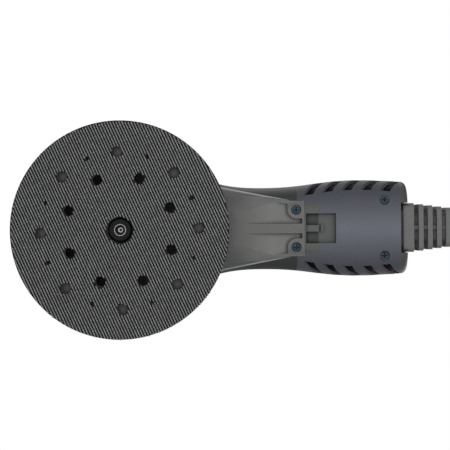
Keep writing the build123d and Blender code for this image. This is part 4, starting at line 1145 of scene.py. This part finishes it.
@dataclass
class ScrewSocket:
    """Machined rim and drill point of the pad screw's hexagon socket, in a plain bright colour as painted
    glints.

    Attributes:
        centre_x: Place of the screw's axis along X in metres.
        rim_radius: Outer radius of the rim in metres.
        rim_width: Width of the rim in metres.
        rim_rise: How far the rim stands out of the head's face and reaches into it, in metres.
        point_radius: Radius of the drill point in metres.
        point_depth: Depth of the socket's floor in metres.
        point_section: Corners of the drill point's section: radius as a share of its own, and height
            above the floor in metres.
        steps: Sides of each circle.
    """

    centre_x: float = PAD_X
    rim_radius: float = 3.4 * MM
    rim_width: float = 0.42 * MM
    rim_rise: float = 0.12 * MM
    point_radius: float = 1.5 * MM
    point_depth: float = 4.4 * MM
    point_section: tuple[tuple[float, float], ...] = (
        (1.0, 0.0),
        (0.55, -0.3 * MM),
        (0.5, 0.0),
        (0.9, 0.1 * MM),
    )
    steps: int = 48

    def _ring(self, shape: bmesh.types.BMesh, section: Sequence[tuple[float, float]]) -> None:
        """Adds a closed ring about the screw's axis.

        Args:
            shape: Shape that is added to.
            section: Radius and height of each corner of the ring's section in metres.
        """
        rows = []
        for radius, height in section:
            angles = [2 * math.pi * index / self.steps for index in range(self.steps)]
            points = [(self.centre_x + radius * math.cos(a), radius * math.sin(a), height) for a in angles]
            rows.append([shape.verts.new(point) for point in points])
        for row, following in zip(rows, rows[1:] + rows[:1]):
            for index in range(self.steps):
                after = (index + 1) % self.steps
                shape.faces.new((row[index], row[after], following[after], following[index]))

    def build(self, wardrobe: Wardrobe) -> bpy.types.Object:
        """Builds the rim and the drill point.

        Args:
            wardrobe: Source of materials.

        Returns:
            The new piece.
        """
        shape = bmesh.new()
        face, _ = node_heights("pad_screw")
        floor = face + self.point_depth
        outer = self.rim_radius
        inner = self.rim_radius - self.rim_width
        middle = (outer + inner) / 2
        rise = self.rim_rise
        self._ring(shape, [(outer, face), (middle, face - rise), (inner, face), (middle, face + rise)])
        self._ring(shape, [(share * self.point_radius, floor + up) for share, up in self.point_section])
        mesh = closed_mesh("socket_rim", shape)
        return wardrobe.new_piece("socket_rim", mesh, PAINTED_GLINT, Body.PAD, "bright_steel")


@dataclass
class SandingPad(Assembly):
    """Hook-and-loop pad with its foam, plate, screw and washer.

    Attributes:
        hooks: Rows of hooks on the face.
        socket: Socket of the screw in its middle.
    """

    finishes = {
        "hook_face": BACKING,
        "pad_foam": FOAM,
        "pad_plate": PLATE,
        "pad_washer": ZINC,
        "pad_screw": BLACK_OXIDE,
        "pad_spindle": STEEL,
    }
    hooks: HookField = field(default_factory=HookField)
    socket: ScrewSocket = field(default_factory=ScrewSocket)

    def _backing(self) -> bpy.types.Object:
        """Makes the sheet that the hooks stand on, with the face's outline and holes.

        Returns:
            The sheet.
        """
        mesh = frame["nodes"]["hook_face"].data.copy()
        mesh.name = "hook_backing"
        _, face_height = node_heights("hook_face")
        share = 1 - self.hooks.height / face_height
        for vertex in mesh.vertices:
            vertex.co.z = self.hooks.height + vertex.co.z * share
        mesh.update()
        return self.wardrobe.new_piece("hook_backing", mesh, BACKING, Body.PAD, "hook_nylon")

    def build(self) -> None:
        """Builds the face and dresses the pad's other pieces."""
        backing = self._backing()
        mesh = self.hooks.build(backing, self.wardrobe.material(HOOKS))
        pile = self.wardrobe.new_piece("hook_pile", mesh, HOOKS, Body.PAD, "hook_nylon")
        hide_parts("hook_face")
        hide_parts("hook_face")
        self.socket.build(self.wardrobe)
        super().build()


@dataclass
class DriveTrain(Assembly):
    """Motor, bearings and orbit drive."""

    finishes = {
        "motor_shaft": STEEL,
        "rotor_core": LAMINATION,
        "rotor_magnets": SPRING,
        "cooling_fan": DARK_PLASTIC,
        "eccentric_hub": DARK_STEEL,
        "counterweight": DARK_STEEL,
        "bearing_circlip": SPRING,
        "orbit_bearing": STEEL,
        "lower_bearing": STEEL,
        "upper_bearing": STEEL,
        "stator_core": LAMINATION,
        "stator_windings": COPPER,
        "sensor_board": BOARD,
        "motor_base": DARK_STEEL,
        "base_screws": ZINC,
    }


@dataclass
class Housing(Assembly):
    """Head, shroud, handle shells and what is inside them."""

    finishes = {
        "shroud": SHROUD_PLASTIC,
        "brake_seal": SEAL,
        "head_housing": SHELL,
        "head_cap": CAP,
        "lower_shell": LOWER_SHELL,
        "upper_shell": SHELL,
        "lower_grip": GRIP,
        "upper_grip": GRIP,
        "neck_cover": COVER,
        "neck_screws": ZINC,
        "shell_screws": ZINC,
        "control_board": BOARD,
        "board_capacitors": DARK_PLASTIC,
        "board_heatsink": ALLOY,
        "terminal_block": DARK_PLASTIC,
        "motor_leads": CABLE,
        "lever_switch": DARK_PLASTIC,
        "paddle_lever": DARK_PLASTIC,
        "lever_pin": STEEL,
        "lever_spring": SPRING,
        "cable_boot": BOOT,
        "supply_cable": CABLE,
        "cable_clamp": DARK_PLASTIC,
        "clamp_screws": ZINC,
    }


@dataclass
class Mark:
    """Raised sign on a button.

    Attributes:
        name: Name of the piece.
        shape: Which sign it is.
        button: Name of the button's node.
        place: Place of the sign's middle along X and Y in metres.
        size: Width of the sign in metres.
        body: Body of the button.
        stroke: Width of its lines in metres.
        rise: How far it stands out of the button and reaches into it, in metres.
        gap: Half the angle that the power sign's ring is open by, in degrees.
        steps: Sides of that ring.
    """

    name: str
    shape: MarkShape
    button: str
    place: tuple[float, float]
    size: float
    body: Body
    stroke: float = 0.7 * MM
    rise: float = 0.12 * MM
    gap: float = 40.0
    steps: int = 28

    def _outlines(self) -> list[list[tuple[float, float]]]:
        """Gives the sign's closed outlines, each counter-clockwise.

        Returns:
            Lists of points around the sign's middle.
        """
        half = self.size / 2
        line = self.stroke / 2
        if self.shape is MarkShape.MINUS:
            return [[(-line, -half), (line, -half), (line, half), (-line, half)]]
        if self.shape is MarkShape.PLUS:
            outline = []
            for quarter in range(4):
                cos = math.cos(quarter * math.pi / 2)
                sin = math.sin(quarter * math.pi / 2)
                arm = [(line, line), (line, half), (-line, half)]
                outline += [(x * cos - y * sin, x * sin + y * cos) for x, y in arm]
            return [outline]
        gap = math.radians(self.gap)
        angles = [gap + index * (2 * math.pi - 2 * gap) / self.steps for index in range(self.steps + 1)]
        outer = [(half * math.cos(angle), half * math.sin(angle)) for angle in angles]
        hollow = half - self.stroke
        inner = [(hollow * math.cos(angle), hollow * math.sin(angle)) for angle in angles]
        start = 0.2 * half
        end = 1.1 * half
        bar = [(start, -line), (end, -line), (end, line), (start, line)]
        return [outer + inner[::-1], bar]

    def build(self, wardrobe: Wardrobe) -> bpy.types.Object:
        """Builds the sign.

        Args:
            wardrobe: Source of materials.

        Returns:
            The new piece.
        """
        shape = bmesh.new()
        x, y = self.place
        _, top = node_heights(self.button)
        for outline in self._outlines():
            base = [shape.verts.new((x + aside, y + along, top - self.rise)) for aside, along in outline]
            lifted = bmesh.ops.extrude_face_region(shape, geom=[shape.faces.new(base)])
            upper = [item for item in lifted["geom"] if isinstance(item, bmesh.types.BMVert)]
            bmesh.ops.translate(shape, verts=upper, vec=(0.0, 0.0, 2 * self.rise))
        return wardrobe.new_piece(self.name, closed_mesh(self.name, shape), MARKING, self.body, "lens")


@dataclass
class ControlPanel(Assembly):
    """Button panel on top of the handle.

    Attributes:
        power_x: Place of the power button along X in metres.
        speed_x: Place of the speed buttons along X in metres.
        speed_y: Distance of the speed buttons from the middle in metres.
        power_size: Width of the power sign in metres.
        speed_size: Width of the speed signs in metres.
    """

    finishes = {
        "button_panel": PANEL_PLASTIC,
        "status_lens": LENS,
        "power_button": KEY,
        "speed_up_button": KEY,
        "speed_down_button": KEY,
        "button_board": BOARD,
    }
    power_x: float = 51.2 * MM
    speed_x: float = 62.4 * MM
    speed_y: float = 6.2 * MM
    power_size: float = 4.8 * MM
    speed_size: float = 3.8 * MM

    def build(self) -> None:
        """Dresses the panel and puts the signs on its buttons."""
        super().build()
        middle = (self.power_x, 0.0)
        left = (self.speed_x, self.speed_y)
        right = (self.speed_x, -self.speed_y)
        marks = [
            Mark("power_mark", MarkShape.POWER, "power_button", middle, self.power_size, Body.POWER),
            Mark("plus_mark", MarkShape.PLUS, "speed_up_button", left, self.speed_size, Body.SPEED_UP),
            Mark("minus_mark", MarkShape.MINUS, "speed_down_button", right, self.speed_size, Body.SPEED_DOWN),
        ]
        for mark in marks:
            mark.build(self.wardrobe)


@dataclass
class SupplyCord(Assembly):
    """Mains cord from the boot to its plug, wound into a flat coil behind the sander.

    Attributes:
        diameter: Diameter of the cord in metres.
        length: Real length of the cord in metres, which is not used.
        route: Points of the stretch that isn't coiled, in metres.
        turn_radius: Radius at the middle of the coil in metres.
        columns: Turns side by side.
        points_per_turn: Control points in each turn.
        low: Height of the lower turns in metres.
        step_angle: Angle over which the cord moves over by one column, or up to the upper turns, in degrees.
        climb_after: Angle of the innermost lower turn after which it moves up, in degrees.
        plug_angle: Direction from the coil's middle to where the lead leaves, in degrees.
        plug_lead: Points of the lead to the plug: distance along it and height, in metres.
    """

    finishes = {
        "cord_tube": CABLE,
        "cord_coil": CABLE,
        "coil_tie": DARK_PLASTIC,
        "plug_body": CABLE,
        "plug_pins": BRASS,
    }
    diameter: float = 8 * MM
    length: float = 2.3
    route: tuple[tuple[float, float, float], ...] = (
        (0.2289, 0.0, 0.0490),
        (0.2559, 0.0, 0.0490),
        (0.2829, -0.0040, 0.0442),
        (0.3089, -0.0145, 0.0300),
        (0.3359, -0.0300, 0.0140),
        (0.3649, -0.0430, 0.0054),
        (0.3969, -0.0480, 0.0043),
    )
    turn_radius: float = 44 * MM
    columns: int = 4
    points_per_turn: int = 24
    low: float = 4.2 * MM
    step_angle: float = 60.0
    climb_after: float = 240.0
    plug_angle: float = 90.0
    plug_lead: tuple[tuple[float, float], ...] = ((0.012, 0.0122), (0.026, 0.0112), (0.038, 0.0110))

    @property
    def widest(self) -> float:
        """Radius of the outermost turn in metres."""
        return self.turn_radius + (self.columns - 1) * self.diameter / 2

    @staticmethod
    def _ease(share: float) -> float:
        """Smooths a step from 0 to 1.

        Args:
            share: How far along the step it is.

        Returns:
            The smoothed share, held between 0 and 1.
        """
        held = min(max(share, 0.0), 1.0)
        return held * held * (3 - 2 * held)

    def _turn(self, turned: float, entry: float) -> tuple[float, float]:
        """Gives the cord's radius and height after an angle of the coil.

        Args:
            turned: Angle wound so far, in degrees.
            entry: Direction from the coil's middle to where the cord arrives, in degrees.

        Returns:
            Radius and height in metres.
        """
        last = self.columns - 1
        climb_start = 360.0 * last + self.climb_after
        climb_end = climb_start + self.step_angle
        if turned < climb_end:
            turns, rest = divmod(turned, 360.0)
            inward = min(turns + self._ease((rest - 360.0 + self.step_angle) / self.step_angle), last)
            raised = self._ease((turned - climb_start) / self.step_angle)
            return self.widest - inward * self.diameter, self.low + raised * self.diameter
        first_step = climb_end + (self.plug_angle - entry) % 360.0 + self.step_angle
        turns, rest = divmod(turned - first_step, 360.0)
        outward = min(turns + self._ease(rest / self.step_angle), last) if turned >= first_step else 0.0
        return self.widest - (last - outward) * self.diameter, self.low + self.diameter

    def _points(self) -> list[Vector]:
        """Lists the control points of the whole cord.

        Returns:
            Points in metres from the boot to the plug.
        """
        points = [Vector(point) for point in self.route]
        heading = (points[-1] - points[-2]).normalized()
        inward = Vector((-heading.y, heading.x, 0.0)) * self.widest
        centre = Vector((points[-1].x + inward.x, points[-1].y + inward.y, 0.0))
        entry = math.degrees(math.atan2(points[-1].y - centre.y, points[-1].x - centre.x))
        final = 360.0 * (2 * self.columns - 1) + (self.plug_angle - entry) % 360.0
        step = 360.0 / self.points_per_turn
        outset = 1 / math.cos(math.radians(step / 2))
        count = int(final // step)
        for index in range(1, count + 1):
            turned = final * index / count
            radius, height = self._turn(turned, entry)
            angle = math.radians(entry + turned)
            reach = radius * outset
            points.append(centre + Vector((reach * math.cos(angle), reach * math.sin(angle), height)))
        angle = math.radians(self.plug_angle)
        outward = Vector((math.cos(angle), math.sin(angle), 0.0))
        along = Vector((-math.sin(angle), math.cos(angle), 0.0))
        for distance, height in self.plug_lead:
            points.append(centre + outward * self.widest + along * distance + Vector((0.0, 0.0, height)))
        return points

    def build(self) -> None:
        """Builds the cord and dresses the nodes that it replaces or joins."""
        points = self._points()
        curve = bpy.data.curves.new("supply_cord", "CURVE")
        curve.dimensions = "3D"
        curve.bevel_depth = self.diameter / 2
        curve.bevel_resolution = 4
        curve.resolution_u = 4
        curve.use_fill_caps = True
        spline = curve.splines.new("NURBS")
        spline.points.add(len(points) - 1)
        for control, point in zip(spline.points, points):
            control.co = (*point, 1.0)
        spline.order_u = 3
        spline.use_endpoint_u = True
        spline.use_smooth = True
        cord = self.wardrobe.new_piece("supply_cord", curve, CABLE, Body.HOUSING, "black_rubber")
        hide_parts("cord_tube", "cord_coil")
        super().build()


@dataclass
class Lamp:
    """Square softbox.

    Attributes:
        name: Name of the lamp.
        place: Place in metres.
        power: Power in watts.
        size: Side of the square in metres.
        target: Point that it faces.
    """

    name: str
    place: tuple[float, float, float]
    power: float
    size: float
    target: tuple[float, float, float] = (0.05, 0.0, 0.04)

    def build(self) -> bpy.types.Object:
        """Builds the lamp.

        Returns:
            The lamp.
        """
        light = bpy.data.lights.new(self.name, "AREA")
        light.energy = self.power
        light.size = self.size
        lamp = add_object(self.name, light)
        lamp.location = self.place
        lamp.rotation_euler = (Vector(self.target) - Vector(self.place)).to_track_quat("-Z", "Y").to_euler()
        return lamp


@dataclass
class Studio:
    """Camera, lamps, background and floor.

    Attributes:
        eye: Place of the camera in metres.
        roll: Turn of the camera about its own line of sight in degrees.
        lens: Focal length in millimetres on the sensor.
        sensor: Width of the sensor in millimetres.
        ambient: Brightness of the surroundings for lit surfaces.
        mirrored: Brightness of the surroundings in reflections.
        floor_height: Height of the floor in metres.
        floor_size: Side of the floor in metres.
        floor_colour: Linear colour of the floor.
        lamps: Softboxes.
    """

    eye: tuple[float, float, float] = (57.6 * MM, -2.4 * MM, -0.8)
    roll: float = 0.47
    lens: float = 112.5
    sensor: float = 36.0
    ambient: float = 0.3
    mirrored: float = 0.22
    floor_height: float = -0.3 * MM
    floor_size: float = 8.0
    floor_colour: tuple[float, float, float, float] = (0.86, 0.86, 0.85, 1.0)
    lamps: tuple[Lamp, ...] = (
        Lamp("front_key", (0.0, -0.06, -1.1), 7.6, 0.6),
        Lamp("front_fill", (0.55, 0.0, -0.95), 2.2, 0.7),
        Lamp("top_key", (-0.5, -0.7, 1.1), 14.0, 0.8),
        Lamp("top_fill", (0.8, 0.6, 0.9), 8.0, 0.9),
        Lamp("side_fill", (0.2, -1.2, 0.9), 5.0, 0.7),
    )

    def _background(self) -> None:
        """Makes the background white, with dimmer light for the surfaces."""
        world = bpy.data.worlds.new("studio")
        bpy.context.scene.world = world
        writer = clear_tree(world)
        path = writer.add("ShaderNodeLightPath").outputs
        seen = writer.math("MAXIMUM", path["Is Camera Ray"], path["Is Transmission Ray"])
        reflected = writer.product(path["Is Glossy Ray"], self.mirrored - self.ambient)
        strength = writer.math("MAXIMUM", writer.total(reflected, self.ambient), seen)
        backdrop = writer.add("ShaderNodeBackground", {"Color": (1.0, 1.0, 1.0, 1.0), "Strength": strength})
        writer.add("ShaderNodeOutputWorld", {"Surface": backdrop.outputs[0]})

    def _floor(self) -> bpy.types.Object:
        """Makes the floor, which can be seen only from above and stops no light.

        Returns:
            The floor.
        """
        half = self.floor_size / 2
        corners = [(-half, -half), (half, -half), (half, half), (-half, half)]
        mesh = bpy.data.meshes.new("floor")
        mesh.from_pydata([(x, y, self.floor_height) for x, y in corners], [], [(0, 1, 2, 3)])
        material = bpy.data.materials.new("floor_paint")
        writer = clear_tree(material)
        path = writer.add("ShaderNodeLightPath").outputs
        under = writer.add("ShaderNodeNewGeometry").outputs["Backfacing"]
        clear = writer.math("MAXIMUM", under, path["Is Shadow Ray"])
        clear = writer.math("MAXIMUM", clear, path["Is Diffuse Ray"])
        paint = writer.add("ShaderNodeBsdfDiffuse", {"Color": self.floor_colour}).outputs[0]
        glass = writer.add("ShaderNodeBsdfTransparent").outputs[0]
        mixed = writer.add("ShaderNodeMixShader", {0: clear, 1: paint, 2: glass}).outputs[0]
        writer.add("ShaderNodeOutputMaterial", {"Surface": mixed})
        mesh.materials.append(material)
        return add_object("floor", mesh)

    def _camera(self) -> None:
        """Places the camera below the sander, looking straight up at its pad."""
        data = bpy.data.cameras.new("camera")
        data.lens = self.lens
        data.sensor_width = self.sensor
        camera = add_object("camera", data)
        camera.location = self.eye
        camera.rotation_euler = (math.pi, 0.0, math.radians(self.roll))
        bpy.context.scene.camera = camera

    def build(self) -> None:
        """Builds the studio."""
        bpy.context.scene.view_settings.view_transform = "Standard"
        self._camera()
        self._background()
        floor = self._floor()
        lamps = [lamp.build() for lamp in self.lamps]
        log.info("studio ready with %d lamps", len(lamps))


def main() -> None:
    """Builds the whole scene."""
    logging.basicConfig(level=logging.INFO, format="%(name)s %(message)s")
    wardrobe = Wardrobe()
    Studio().build()
    for assembly in (
        SandingPad(wardrobe),
        DriveTrain(wardrobe),
        Housing(wardrobe),
        ControlPanel(wardrobe),
        SupplyCord(wardrobe),
    ):
        assembly.build()
        log.info("%s ready", type(assembly).__name__)


if __name__ == "__main__":
    main()
